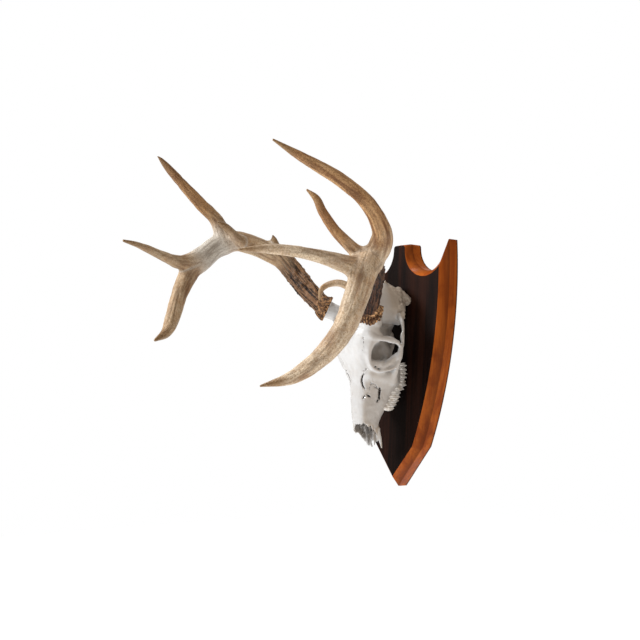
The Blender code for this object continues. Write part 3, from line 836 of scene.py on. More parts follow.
ORBIT_CENTRE = (0.056, 0.064, 0.116)
ORBIT_RADII = (0.034, 0.0285, 0.0222)
ORBIT_RIM = (
    # side, proud, down, radius, once round from the forehead
    (0.041, 0.0850, 0.098, 0.0027),
    (0.051, 0.071, 0.093, 0.0032),
    (0.0540, 0.053, 0.096, 0.0030),
    (0.0540, 0.0395, 0.106, 0.0026),
    (0.0520, 0.0385, 0.122, 0.0028),
    (0.0470, 0.047, 0.136, 0.0030),
    (0.0405, 0.061, 0.1410, 0.0022),
    (0.0350, 0.075, 0.1380, 0.0020),
    (0.0345, 0.0850, 0.124, 0.0024),
)

# Parts of the skull. Each has a name, how softly it blends into the rest, its limbs and its
# balls. A limb is rows of side, proud, down and radius. A ball is its centre and its radii.
BRAINCASE = ((0.0, 0.044, 0.042), (0.033, 0.038, 0.038))
BACK_OF_HEAD = {
    "base": (0.012, [
        [(0, 0.030, 0.092, 0.010), (0, 0.021, 0.062, 0.011), (0, 0.016, 0.034, 0.012)],
    ], [
        ((0.020, 0.022, 0.042), (0.013, 0.016, 0.024)),
    ]),
    "blade": (0.005, [
        [(0.0, 0.034, 0.004, 0.0040), (0.012, 0.0255, 0.013, 0.0032),
         (0.0205, 0.0155, 0.020, 0.0030), (0.0265, 0.0060, 0.0265, 0.0024),
         (0.0285, -0.0030, 0.0325, 0.0010)],
        [(0.0205, 0.0140, 0.024, 0.0034), (0.0255, 0.0055, 0.0300, 0.0026),
         (0.0275, 0.0, 0.0325, 0.0016)],
        [(0.0200, 0.0100, 0.034, 0.0040), (0.0245, 0.0045, 0.0350, 0.0030),
         (0.0270, 0.0, 0.0340, 0.0016)],
    ], []),
    "ridge_to_cheek_arch": (0.0035, [
        [(0.014, 0.0305, 0.0150, 0.0026), (0.024, 0.0235, 0.0200, 0.0022),
         (0.0315, 0.0215, 0.0340, 0.0021), (0.0350, 0.0240, 0.0500, 0.0021),
         (0.0375, 0.0245, 0.0590, 0.0026)],
        [(0.0350, 0.0225, 0.0470, 0.0022), (0.0372, 0.0180, 0.0490, 0.0010)],
    ], []),
    "knobs": (0.004, [], [
        ((0.011, 0.010, 0.020), (0.008, 0.008, 0.010)),
        ((0.0195, 0.0165, 0.058), (0.0085, 0.008, 0.013)),
    ]),
}
PITS = {
    "pits": (0.0015, [], [
        ((0.031, 0.0125, 0.030), (0.0045, 0.0050, 0.0075)),
        ((0.034, 0.0150, 0.050), (0.0040, 0.0045, 0.0060)),
    ]),
}
FOREHEAD = {
    "forehead": (0.014, [], [
        ((0.0, 0.080, 0.078), (0.036, 0.021, 0.040)),
        ((0.022, 0.082, 0.092), (0.024, 0.015, 0.030)),
    ]),
}
PEDICLE_ROWS = (
    # place along the seat's axis, added radius
    (-0.024, 0.0005), (-0.008, 0.0), (0.006, 0.0008),
)
SOCKETS = {"sockets": (0.0025, [], [(ORBIT_CENTRE, ORBIT_RADII)])}
CHEEKS_AND_RIMS = {
    "cheek": (0.016, [
        [(0.0260, 0.0720, 0.1460, 0.0030), (0.0300, 0.0590, 0.1480, 0.0045),
         (0.0325, 0.0470, 0.1500, 0.0050)],
    ], []),
    # Rim, cheek arch to the ear, brow, bar behind the eye, strut under the brain case
    "rims": (0.0075, [
        [*ORBIT_RIM, ORBIT_RIM[0]],
        [(0.033, 0.034, 0.155, 0.0065), (0.042, 0.039, 0.142, 0.0050),
         (0.0495, 0.0395, 0.128, 0.0036), (0.0540, 0.0400, 0.108, 0.0031),
         (0.0545, 0.0370, 0.099, 0.0024), (0.0535, 0.0372, 0.090, 0.0032),
         (0.0505, 0.0330, 0.079, 0.0021), (0.0455, 0.0310, 0.0675, 0.0034),
         (0.037, 0.0270, 0.0600, 0.0040), (0.034, 0.0240, 0.0500, 0.0030),
         (0.028, 0.0290, 0.046, 0.006)],
        [(0.033, 0.092, 0.071, 0.0060), (0.040, 0.087, 0.081, 0.0048),
         (0.048, 0.076, 0.0895, 0.0036)],
        [(0.034, 0.088, 0.084, 0.0070), (0.044, 0.0865, 0.091, 0.0046),
         (0.052, 0.069, 0.0945, 0.0036), (0.0540, 0.046, 0.0985, 0.0030)],
        [(0.014, 0.034, 0.118, 0.0034), (0.015, 0.020, 0.102, 0.0024),
         (0.013, 0.022, 0.086, 0.0024)],
    ], []),
    "socket_floor": (0.006, [
        [(0.028, 0.044, 0.122, 0.0045), (0.034, 0.052, 0.128, 0.0055),
         (0.037, 0.062, 0.131, 0.0050), (0.033, 0.074, 0.130, 0.0045)],
        [(0.0465, 0.0415, 0.1185, 0.0045), (0.043, 0.0500, 0.1265, 0.0050),
         (0.0395, 0.062, 0.134, 0.0034)],
    ], []),
}
PALATE = {
    "palate": (0.006, [
        [(0, 0.004, 0.112, 0.016), (0, 0.006, 0.150, 0.020), (0, 0.007, 0.185, 0.017),
         (0, 0.016, 0.212, 0.014)],
    ], []),
}
HOLES = {
    "neck_and_nerves": (0.001, [
        [(0.0, 0.026, -0.002, 0.0075), (0.0, 0.030, 0.026, 0.0085)],
        [(0.034, 0.056, 0.196, 0.0017), (0.020, 0.055, 0.186, 0.0017)],
        [(0.036, 0.104, 0.0925, 0.0011), (0.031, 0.088, 0.0945, 0.0011)],
    ], []),
}
SPLINTERS = {
    "splinters": (0.002, [
        [(0.0130, 0.044, 0.230, 0.0036), (0.0125, 0.0385, 0.246, 0.0026),
         (0.0115, 0.034, 0.259, 0.0009)],
        [(0.0090, 0.051, 0.226, 0.0020), (0.0085, 0.0475, 0.243, 0.0016),
         (0.0075, 0.045, 0.2545, 0.0008)],
    ], []),
}
NOSE_SCROLLS = (
    # side, proud, how far down it ends, bow
    (0.0085, 0.060, 0.234, 0.0015), (0.0105, 0.054, 0.240, 0.0), (0.0070, 0.051, 0.245, 0.001),
    (0.0095, 0.047, 0.250, 0.0), (0.0050, 0.065, 0.229, 0.001),
)

# Cracks and slits in the face: side, proud, down, and the half width in millimetres
SLIT_DEPTHS = (0.0, 0.0014, 0.0028)
SLIT_WIDTH_UNIT = 0.00105
SLITS = (
    ((0.0216, 0.0800, 0.1449, 0.9), (0.0161, 0.0814, 0.1503, 1.1), (0.0138, 0.0811, 0.1571, 1.3),
     (0.0148, 0.0793, 0.1645, 1.2), (0.0175, 0.0760, 0.1702, 0.7)),
    ((0.0204, 0.0820, 0.1427, 0.8), (0.0241, 0.0804, 0.1393, 1.2), (0.0246, 0.0774, 0.1432, 0.8)),
    ((0.0250, 0.0727, 0.1492, 1.3), (0.0252, 0.0698, 0.1543, 0.9), (0.0264, 0.0654, 0.1567, 0.8)),
    ((0.0266, 0.0560, 0.1675, 1.1), (0.0254, 0.0553, 0.1750, 1.4), (0.0238, 0.0542, 0.1850, 1.2)),
    ((0.0240, 0.0696, 0.1603, 0.4), (0.0260, 0.0633, 0.1624, 0.4), (0.0259, 0.0590, 0.1683, 0.6)),
    ((0.0140, 0.0775, 0.1842, 0.8), (0.0162, 0.0761, 0.1802, 0.9)),
    ((0.0192, 0.0726, 0.1792, 1.2), (0.0209, 0.0690, 0.1811, 0.9)),
    ((0.0165, 0.0765, 0.1690, 0.35), (0.0185, 0.0753, 0.1688, 0.35), (0.0213, 0.0719, 0.1672, 0.35),
     (0.0234, 0.0699, 0.1618, 0.35), (0.0248, 0.0695, 0.1558, 0.35)),
    ((0.0229, 0.0738, 0.1544, 0.35), (0.0270, 0.0745, 0.1490, 0.45), (0.0274, 0.0668, 0.1549, 0.35)),
    ((0.0244, 0.0667, 0.1647, 0.35), (0.0254, 0.0615, 0.1676, 0.40), (0.0262, 0.0580, 0.1685, 0.35)),
    ((0.0243, 0.0710, 0.1558, 0.35), (0.0212, 0.0706, 0.1724, 0.35), (0.0180, 0.0745, 0.1786, 0.35)),
    ((0.0194, 0.0811, 0.1427, 1.0), (0.0215, 0.0782, 0.1393, 1.4), (0.0227, 0.0757, 0.1432, 0.9)),
    ((0.0367, 0.0747, 0.1359, 1.5),),
    ((0.0375, 0.0710, 0.1385, 0.8), (0.0388, 0.0689, 0.1390, 1.2)),
)
# Seams between the bones of the face
SEAMS = (
    ((-0.0161, 0.0905, 0.1271), (-0.0128, 0.0879, 0.1361), (-0.0090, 0.0853, 0.1450),
     (-0.0067, 0.0803, 0.1797)),
    ((0.0312, 0.0577, 0.1434), (0.0295, 0.0506, 0.1568), (0.0263, 0.0532, 0.1720),
     (0.0249, 0.0444, 0.1855)),
    ((0.0205, 0.0775, 0.1427), (0.0300, 0.0700, 0.1330), (0.0340, 0.0640, 0.1390)),
)
MIDDLE_SEAM = ((0.0, 0.098, 0.098), (0.0, 0.084, 0.150), (0.0, 0.079, 0.222))
# Rough bone at the back of the head, and the dots over the brow
CREST_LINES = (
    ((0.0, 0.0340, 0.0040), (0.0140, 0.0305, 0.0150), (0.0240, 0.0235, 0.0200),
     (0.0315, 0.0215, 0.0340), (0.0350, 0.0240, 0.0500), (0.0375, 0.0245, 0.0590)),
    ((0.0205, 0.0155, 0.0200), (0.0285, -0.0030, 0.0325), (0.0205, 0.0100, 0.0340)),
)
SPECKLE = ((0.0338, 0.0969, 0.0925), (0.0338, 0.0960, 0.0998), (0.0333, 0.0949, 0.1057),
           (0.0294, 0.0940, 0.1131))


def skull_point(side, proud, down):
    """Place in the world from midline, board face and crest."""
    return (side, FACE_Y - proud, CREST_Z - down)


def like(field):
    """Empty field on the same grid."""
    return Field(field.low, field.low + field.step * (np.array(field.count) - 1), field.step,
                 np.zeros(3, dtype=int))


def skull_shapes(body, limbs=(), balls=()):
    """Limbs and balls, each with its mirror image, in a field of their own."""
    field = like(body)
    for hand in BOTH_SIDES:
        for rows in limbs:
            points = [(*skull_point(hand * s, p, d), r) for s, p, d, r in rows]
            add_limb(field, curve(points, SKULL_CURVE_STEP))
        for (side, proud, down), radii in balls:
            add_ellipsoid(field, skull_point(hand * side, proud, down), radii)
    return field


def join_parts(body, parts):
    for blend, limbs, balls in parts.values():
        body.join(skull_shapes(body, limbs, balls), blend)


def cut_parts(body, parts):
    for blend, limbs, balls in parts.values():
        body.cut(skull_shapes(body, limbs, balls), blend)


def add_face(field, shrink=0.0, first=0):
    """Loft of rounded sections down the face, made smaller by a wall."""
    rows = curve(FACE_SECTIONS[first:], SKULL_CURVE_STEP)
    downs = rows[:, 0]
    low = skull_point(-0.05, 0.12, downs[-1] + 0.004)
    high = skull_point(0.05, 0.0, downs[0] - 0.004)
    where, (x, y, z) = field.window(low, high)
    down = CREST_Z - z
    proud = FACE_Y - y
    edges = (np.interp(down, downs, rows[:, k]) for k in range(1, 5))
    back, front, half_back, half_front = edges
    middle = (back + front) / 2
    depth = (front - back) / 2
    share = np.clip((proud - middle) / depth * 0.5 + 0.5, 0.0, 1.0)
    half = half_back + (half_front - half_back) * share - shrink
    depth = depth - shrink
    ratio = (np.abs(x) / half) ** SECTION_POWER + (np.abs(proud - middle) / depth) ** SECTION_POWER
    distance = (ratio ** (1 / SECTION_POWER) - 1.0) * np.minimum(half, depth)
    past_end = np.maximum(downs[0] - down, down - downs[-1])
    distance = np.maximum(distance, past_end)
    field.value[where] = np.minimum(field.value[where], distance.astype(np.float32))


def add_pedicles(body):
    pedicles = like(body)
    for hand in BOTH_SIDES:
        seat = Vector((SEAT_OUT, SEAT_PROUD, SEAT_DOWN[hand]))
        rows = []
        for reach, swell in PEDICLE_ROWS:
            side, proud, down = seat + reach * Vector((SEAT_AXIS.x, SEAT_AXIS.y, -SEAT_AXIS.z))
            rows.append((*skull_point(hand * side, proud, down), PEDICLE_RADIUS + swell))
        add_limb(pedicles, rows)
    body.join(pedicles, PEDICLE_BLEND)


def cut_cavity(body):
    cavity = like(body)
    add_face(cavity, SNOUT_WALL, SNOUT_CAVITY_FROM)
    body.cut(cavity, CAVITY_BLEND)


def cut_slits(body):
    """The cracks and slits of the face, sunk in by a few shifted copies of each."""
    slits = like(body)
    for slit, sunk in itertools.product(SLITS, SLIT_DEPTHS):
        rows = [
            (side - 0.5 * sunk, proud - 0.8 * sunk, down, half_width * SLIT_WIDTH_UNIT)
            for side, proud, down, half_width in (slit if len(slit) > 1 else slit * 2)
        ]
        for hand in BOTH_SIDES:
            add_limb(slits, [(*skull_point(hand * row[0], *row[1:3]), row[3]) for row in rows])
    body.cut(slits, SLIT_BLEND)


def add_scrolls(body):
    """Thin scrolls of bone inside the nose, and the wall between its halves."""
    limbs = []
    for k in range(5):
        proud = 0.044 + 0.003 * k
        end = 0.236 - 0.0015 * k
        limbs.append([(0.0, proud, 0.160, 0.0011), (0.0, proud, end, 0.0011)])
    for (side, proud, end, bow), layer in itertools.product(NOSE_SCROLLS, range(3)):
        lift = proud - 0.0018 * layer
        limbs.append([(side, lift, 0.185, 0.0012), (side + bow, lift, 0.215, 0.0012),
                      (side, lift - 0.002, end - 0.003 * layer, 0.0009)])
    body.join(skull_shapes(body, limbs), SCROLL_BLEND)


def break_nose(body):
    """Jagged end of the snout with splinters left along the palate."""
    high = body.low + body.step * np.array(body.count)
    where, (x, y, z) = body.window(body.low, high)
    down = CREST_Z - z
    proud = FACE_Y - y
    points = np.stack(np.broadcast_arrays(x[:, :, 0], y[:, :, 0]), -1).reshape(-1, 2)
    rough = layered_grain(np.column_stack([points, np.zeros(len(points))]), 0.0042, 3, 5)
    rough = rough.reshape(x.shape[0], y.shape[1], 1)
    prouds, ends = np.transpose(BREAK_LINE)
    far_side = np.clip(-x - 0.002, 0.0, 0.012)
    break_line = np.interp(proud, prouds, ends) + far_side + 0.011 * (rough - 0.5)
    body.value[where] = np.maximum(body.value[where], down - break_line)
    join_parts(body, SPLINTERS)


def look_up(field, points):
    """Field values at points, mixed from the eight grid places round each."""
    place = (points - field.low) / field.step
    corner = np.clip(np.floor(place).astype(int), 0, np.array(field.count) - 2)
    share = np.clip(place - corner, 0.0, 1.0)
    total = np.zeros(len(points))
    for offset in itertools.product((0, 1), repeat=3):
        weight = np.prod(np.where(offset, share, 1 - share), axis=1)
        total += weight * field.value[tuple((corner + offset).T)]
    return total


def line_distance(points, line):
    """Distance to a chain of (x, y, z) places, less its half width in millimetres if given."""
    found = np.full(len(points), FAR_AWAY)
    line = np.array(line if len(line) > 1 else line * 2, dtype=float)
    for a, b in itertools.pairwise(line):
        along = b[:3] - a[:3]
        share = np.clip(((points - a[:3]) @ along) / max(along @ along, 1e-12), 0.0, 1.0)
        width = (a[3] + share * (b[3] - a[3])) * 0.001 if len(a) > 3 else 0.0
        gap = np.linalg.norm(points - a[:3] - share[:, None] * along, axis=1) - width
        found = np.minimum(found, gap)
    return found


def lines_distance(points, lines):
    return np.minimum.reduce([line_distance(points, line) for line in lines])


def skull_places(points):
    """Side, proud and down of points in the world."""
    return np.column_stack([points[:, 0], FACE_Y - points[:, 1], CREST_Z - points[:, 2]])


def build_skull(bone):
    body = Field(skull_point(*SKULL_ROOM[0]), skull_point(*SKULL_ROOM[1]), SKULL_STEP)
    add_ellipsoid(body, skull_point(*BRAINCASE[0]), BRAINCASE[1])
    join_parts(body, BACK_OF_HEAD)
    cut_parts(body, PITS)
    join_parts(body, FOREHEAD)
    add_pedicles(body)
    face = like(body)
    add_face(face)
    body.join(face, FACE_BLEND)
    cut_parts(body, SOCKETS)
    join_parts(body, CHEEKS_AND_RIMS)
    cut_parts(body, PALATE)
    cut_cavity(body)
    cut_slits(body)
    cut_parts(body, HOLES)
    break_nose(body)
    add_scrolls(body)
    points, faces = keep_main_body(*surface(body))
    normals = point_normals(points, faces)
    places = skull_places(points)
    mirrored = np.abs(places) * (1, 0, 0) + places * (0, 1, 1)
    depth = -look_up(face, points)

    rough_back = step_between(lines_distance(mirrored, CREST_LINES), 0.0090, 0.0030)
    seam = np.minimum.reduce([
        line_distance(places if line[0][0] < 0 else mirrored, line)
        for line in (*SEAMS, MIDDLE_SEAM)
    ])
    swell = (layered_grain(points, 0.013, 3, 11) - 0.5) * 0.0024
    swell += (layered_grain(points, 0.0050, 3, 17) - 0.5) * 0.0100 * rough_back
    swell -= 0.0005 * np.exp(-(seam / 0.0009) ** 2)
    points = points + normals * swell[:, None]
    points = trim(points, skull_point(0.0, CONTACT_GAP, 0.0), (0, 1, 0))
    for hand in BOTH_SIDES:
        axis = Vector((hand * SEAT_AXIS.x, -SEAT_AXIS.y, SEAT_AXIS.z))
        seat = Vector(skull_point(hand * SEAT_OUT, SEAT_PROUD, SEAT_DOWN[hand]))
        points = trim(points, seat - axis * CONTACT_GAP / 2, axis)
    skull = add_piece("bleached_skull", points, faces, bone, "skull")

    # Painted shade in the hollows of the skull
    store(skull, "deep", cavity_shade_mask(mirrored, depth))
    outward = normals[:, 0] * np.sign(points[:, 0])
    # Wear, with painted shade on the sideways-facing flanks
    store(skull, "worn", bone_wear_and_side_shade(mirrored, points, outward, rough_back))
    store(skull, "speckle", line_distance(mirrored, SPECKLE) * 1000)
    # Distance to the slits, which are painted near-black as shade inside them
    store(skull, "slit", lines_distance(mirrored, SLITS) * 1000)
    store(skull, "seam", seam * 1000)
    return skull


def cavity_shade_mask(places, depth):
    """Painted shade: how far the bone lies in the nose, in an eye socket or behind one."""
    side, proud, down = places.T
    in_nose = step_between(depth, 0.0008, 0.0024) * step_between(down, 0.150, 0.165)
    socket = np.linalg.norm((places - np.array(ORBIT_CENTRE)) / np.array(ORBIT_RADII), axis=1)
    in_socket = step_between(socket, 1.12, 1.0) * step_between(side, 0.042, 0.024)
    in_socket *= step_between(down, 0.130, 0.122)
    behind = step_between(side, 0.036, 0.022) * step_between(proud, 0.070, 0.058)
    behind *= step_between(down, 0.062, 0.080) * step_between(down, 0.112, 0.100)
    return np.clip(0.55 * in_nose + 0.42 * in_socket + 0.6 * behind, 0, 1)


def bone_wear_and_side_shade(places, points, outward, rough_back):
    """How much the bone has weathered: its neck, broken nose and rough back more than the rest,
    darker at the back of the crown, and painted shade on the flanks that face sideways.
    """
    _, proud, down = places.T
    neck = step_between(down, 0.034, 0.012) * step_between(proud, 0.040, 0.015)
    snapped = step_between(down, 0.214, 0.232)
    blots = step_between(layered_grain(points, 0.008, 3, 23), 0.42, 0.70)
    crown = step_between(down, 0.066, 0.036) * step_between(proud, 0.060, 0.030)
    # Painted shade on the bone that faces sideways
    side_facing_shade = step_between(outward, 0.40, 0.85)
    blotted = (0.5 * snapped + 0.5 * rough_back + 0.12) * blots
    return np.clip(blotted + 0.35 * neck + 0.60 * crown + 0.55 * side_facing_shade, 0, 1)


# Teeth

TEETH_ROOM = ((-0.045, 0.044, 0.210), (0.045, -0.010, 0.118))
TOOTH_STEP = SKULL_STEP * 0.6
LOBES = (-0.25, 0.25)
TOOTH_ROW = (
    # share along the row, outer side, how proud the tips are
    (0.0, 0.0275, 0.0), (0.45, 0.0278, 0.0), (0.52, 0.0290, 0.0040), (0.62, 0.0285, 0.0100),
    (0.76, 0.0268, 0.0125), (0.90, 0.0240, 0.0165), (1.0, 0.0215, 0.0205),
)


def add_lobe(body, outer, tip, down, width, length):
    """One pointed half of a tooth, with a rib on its cheek side, one at its edge and one inside."""
    ribs = [
        [(outer - 0.0008, 0.0125 + tip, down, 0.0017),
         (outer - 0.0012, 0.0015 + tip, down + 0.0006, 0.0007)],
        [(outer - 0.0018, 0.0110 + tip, down - 0.8 * length, 0.0012),
         (outer - 0.0016, 0.0040 + tip, down - length, 0.0007)],
        [(outer - 0.0070, 0.0110 + tip, down, 0.0020),
         (outer - 0.0066, 0.0028 + tip, down, 0.0010)],
    ]
    crown = ((outer - width, 0.0110 + tip, down), (width, 0.0105, length))
    body.join(skull_shapes(body, ribs, [crown]), LOBE_BLEND)


def build_teeth(enamel):
    """Two rows of cheek teeth with two lobes each."""
    body = Field(skull_point(*TEETH_ROOM[0]), skull_point(*TEETH_ROOM[1]), TOOTH_STEP)
    pitch = TOOTH_ROW_LENGTH / TEETH_PER_SIDE
    shares, outers, tips = np.transpose(TOOTH_ROW)
    gullies = []
    for i, lobe in itertools.product(range(TEETH_PER_SIDE), LOBES):
        place = (i + 0.5 + lobe) / TEETH_PER_SIDE
        down = TOOTH_ROW_START + TOOTH_ROW_LENGTH * place
        uneven = math.sin(29.0 * place) + math.sin(67.0 * place)
        outer = float(np.interp(place, shares, outers)) + 0.0005 * uneven
        tip = float(np.interp(place, shares, tips)) + 0.0009 * math.sin(53.0 * place)
        length = pitch * (0.31 + 0.07 * place)
        add_lobe(body, outer, tip, down, 0.0052 - 0.0014 * place, length)
        gullies.append(down - length)
    points, faces = surface(body)
    normals = point_normals(points, faces)
    swell = (layered_grain(points, 0.0028, 3, 31) - 0.5) * 0.0011
    points = points + normals * swell[:, None]
    points = trim(points, skull_point(0.0, CONTACT_GAP, 0.0), (0, 1, 0))
    teeth = add_piece("cheek_teeth", points, faces, enamel, "skull")
    down = CREST_Z - points[:, 2]
    nearest = np.min(np.abs(down[:, None] - np.array(gullies)[None, :]), axis=1)
    # Painted shade in the gullies between the lobes
    store(teeth, "crevice", step_between(nearest, 0.0014, 0.0002) * 0.8)
    return teeth


# Antlers: rows are out, proud and up from the seat, then the radius

LEFT_LIMBS = {
    "beam": [(0, 0, 0, 0.0155), (0.006, 0.008, 0.007, 0.0150), (0.035, 0.0285, 0.034, 0.0150),
             (0.07, 0.0565, 0.051, 0.0160), (0.105, 0.0945, 0.061, 0.0175),
             (0.132, 0.1265, 0.043, 0.0180), (0.138, 0.1445, 0.006, 0.0165),
             (0.131, 0.1575, -0.033, 0.0150), (0.115, 0.1785, -0.068, 0.0127),
             (0.097, 0.2095, -0.095, 0.0088), (0.085, 0.2495, -0.107, 0.0015)],
    "high_tine": [(0.105, 0.0945, 0.061, 0.0150), (0.126, 0.0955, 0.08, 0.0160),
                  (0.137, 0.1025, 0.101, 0.0127), (0.137, 0.1295, 0.134, 0.0100),
                  (0.123, 0.1675, 0.162, 0.0090), (0.107, 0.2105, 0.183, 0.0066),
                  (0.093, 0.2495, 0.203, 0.0015)],
    "inner_tine": [(0.1, 0.0955, 0.062, 0.0120), (0.105, 0.1195, 0.074, 0.0092),
                   (0.097, 0.145, 0.096, 0.0074), (0.086, 0.16, 0.121, 0.0064),
                   (0.078, 0.166, 0.14, 0.0050), (0.068, 0.1745, 0.152, 0.0015)],
    "front_tine": [(0.115, 0.1145, 0.051, 0.0145), (0.122, 0.1495, 0.053, 0.0120),
                   (0.122, 0.1825, 0.058, 0.0093), (0.118, 0.2185, 0.062, 0.0076),
                   (0.108, 0.2585, 0.063, 0.0062), (0.099, 0.2985, 0.059, 0.0015)],
    "brow_tine": [(0.025, 0.0245, 0.035, 0.0080), (0.028, 0.0585, 0.033, 0.0064),
                  (0.02, 0.0745, 0.038, 0.0051), (0.012, 0.0875, 0.036, 0.0045),
                  (0.006, 0.0965, 0.028, 0.0037), (0.002, 0.0965, 0.014, 0.0015)],
}

RIGHT_LIMBS = {
    "beam": [(0, 0, 0, 0.0155), (0.006, 0.007, 0.007, 0.0150), (0.035, 0.0165, 0.032, 0.0155),
             (0.06, 0.0245, 0.059, 0.0160), (0.085, 0.0385, 0.084, 0.0155),
             (0.125, 0.0875, 0.106, 0.0160), (0.139, 0.1175, 0.095, 0.0175),
             (0.142, 0.1395, 0.077, 0.0175), (0.14, 0.1625, 0.055, 0.0155),
             (0.133, 0.1845, 0.019, 0.0128), (0.118, 0.2055, -0.023, 0.0112),
             (0.106, 0.2215, -0.045, 0.0080), (0.092, 0.2475, -0.058, 0.0022)],
    "high_tine": [(0.132, 0.1055, 0.103, 0.0150), (0.137, 0.1225, 0.137, 0.0108),
                  (0.136, 0.148, 0.155, 0.0098), (0.131, 0.178, 0.175, 0.0084),
                  (0.123, 0.2045, 0.191, 0.0070), (0.111, 0.23, 0.204, 0.0052),
                  (0.101, 0.2505, 0.215, 0.0015)],
    "front_tine": [(0.14, 0.1475, 0.072, 0.0155), (0.132, 0.1875, 0.064, 0.0112),
                   (0.122, 0.2245, 0.07, 0.0074), (0.11, 0.2685, 0.08, 0.0050),
                   (0.099, 0.3055, 0.084, 0.0015)],
    "spur": [(0.087, 0.0415, 0.085, 0.0075), (0.087, 0.0435, 0.106, 0.0054),
             (0.088, 0.0465, 0.116, 0.0016)],
    "snag": [(0.11, 0.0925, 0.103, 0.0080), (0.1, 0.1275, 0.122, 0.0058),
             (0.093, 0.1475, 0.127, 0.0015)],
}

# How each antler is coloured. Stain: how brown each limb is, from grey tan to dark.
# Root: distances along the beam where the dark root has gone and where it is full.
# Web: middle, reach and strength of the pale patch at the forks.
# Highlight: how far the surface turns to the lit side before the painted highlight starts, and before
# it is full.
LEFT_LOOK = {
    "stain": {"beam": 0.34, "high_tine": 1.02, "inner_tine": 1.35, "front_tine": 0.25,
              "brow_tine": 0.45},
    "root": (0.185, 0.125),
    "web": ((0.112, 0.108, 0.050), 0.024, 0.65),
    "gold": (0.10, 0.85),
}
RIGHT_LOOK = {
    "stain": {"beam": 0.42, "high_tine": 1.05, "front_tine": 0.36, "spur": 0.35, "snag": 0.40},
    "root": (0.165, 0.040),
    "web": ((0.137, 0.132, 0.086), 0.055, 1.0),
    "gold": (-0.95, 0.20),
}
STAIN_REACH = 0.095
STAIN_LIMIT = 1.25
LIT_SIDE = (0.50, 0.63, -0.55)
RIDGES_ON_BURR = 23
LIMB_REACH = 0.026


def antler_point(hand, out, proud, up):
    """Place in the world from an antler's seat."""
    return skull_point(hand * (SEAT_OUT + out), SEAT_PROUD + proud, SEAT_DOWN[hand] - up)


class Limb:
    """Centre line of one limb with its running length and cross directions."""

    def __init__(self, name, rows, start=0.0):
        self.name = name
        samples = curve(rows, CENTRE_LINE_STEP)
        self.centre = samples[:, :3]
        self.radius = samples[:, 3]
        steps = np.diff(self.centre, axis=0)
        lengths = np.linalg.norm(steps, axis=1)
        self.along = start + np.concatenate([[0.0], np.cumsum(lengths)])
        self.end = self.along[-1]
        ahead = np.vstack([steps, steps[-1]])
        self.ahead = ahead / np.linalg.norm(ahead, axis=1)[:, None]
        across = [np.array(Vector(self.ahead[0]).orthogonal().normalized())]
        for direction in self.ahead[1:]:
            turned = across[-1] - direction * (across[-1] @ direction)
            across.append(turned / np.linalg.norm(turned))
        self.across = np.array(across)
        self.around = np.cross(self.ahead, self.across)

    def measure(self, points):
        """Signed gap to the limb, place along it and both offsets across it."""
        nearest, gap = nearest_spot(points, self.centre, self.radius)
        offset = points - self.centre[nearest]
        slide = (offset * self.ahead[nearest]).sum(1)
        u = (offset * self.across[nearest]).sum(1)
        v = (offset * self.around[nearest]).sum(1)
        return gap, self.along[nearest] + slide, u, v


BURR_REACH = 0.030
BURR_RAY = (
    # lift from the seat, share of the burr's radius, thickness
    (0.0010, 1.02, 0.0022), (0.0045, 0.97, 0.0024), (0.0085, 0.87, 0.0019), (0.0125, 0.76, 0.0010),
)
BURR_BEADS = (
    # lift from the seat, share of the burr's radius
    (0.0030, 1.06), (0.0070, 0.95),
)
BEAD_RADIUS = 0.0019


def add_burr(field, hand, seat, normal):
    """Crown of short rays and beads round the seat."""
    across = normal.orthogonal().normalized()
    around = normal.cross(across)
    burr = field.patch(np.array(seat) - BURR_REACH, np.array(seat) + BURR_REACH)
    add_limb(burr, [(*(seat - normal * 0.004), BURR_RADIUS - 0.0030),
                    (*(seat + normal * 0.004), BURR_RADIUS - 0.0050)])
    centres = []
    for i in range(RIDGES_ON_BURR):
        angle = 2 * math.pi * i / RIDGES_ON_BURR
        swell = 1.0 + 0.22 * math.sin(5 * angle + hand) + 0.16 * math.sin(11 * angle)
        wander = 1.0 + 0.04 * math.sin(7 * angle) + 0.03 * math.sin(17 * angle + 1)
        ray = across * math.cos(angle) + around * math.sin(angle)
        ridge = []
        tall = 1 + 0.25 * math.sin(3 * angle)
        for lift, out, size in BURR_RAY:
            place = seat + normal * lift * tall + ray * BURR_RADIUS * out * wander
            ridge.append((*place, size * swell))
            centres.append(tuple(place))
        add_limb(burr, ridge)
        for lift, out in BURR_BEADS:
            wide = 1.02 if i % 3 else 0.96
            bead = seat + normal * lift + ray * BURR_RADIUS * out * wander * wide
            add_ellipsoid(burr, bead, [BEAD_RADIUS * swell] * 3)
    field.join(burr, BURR_BLEND)
    return np.array(centres)


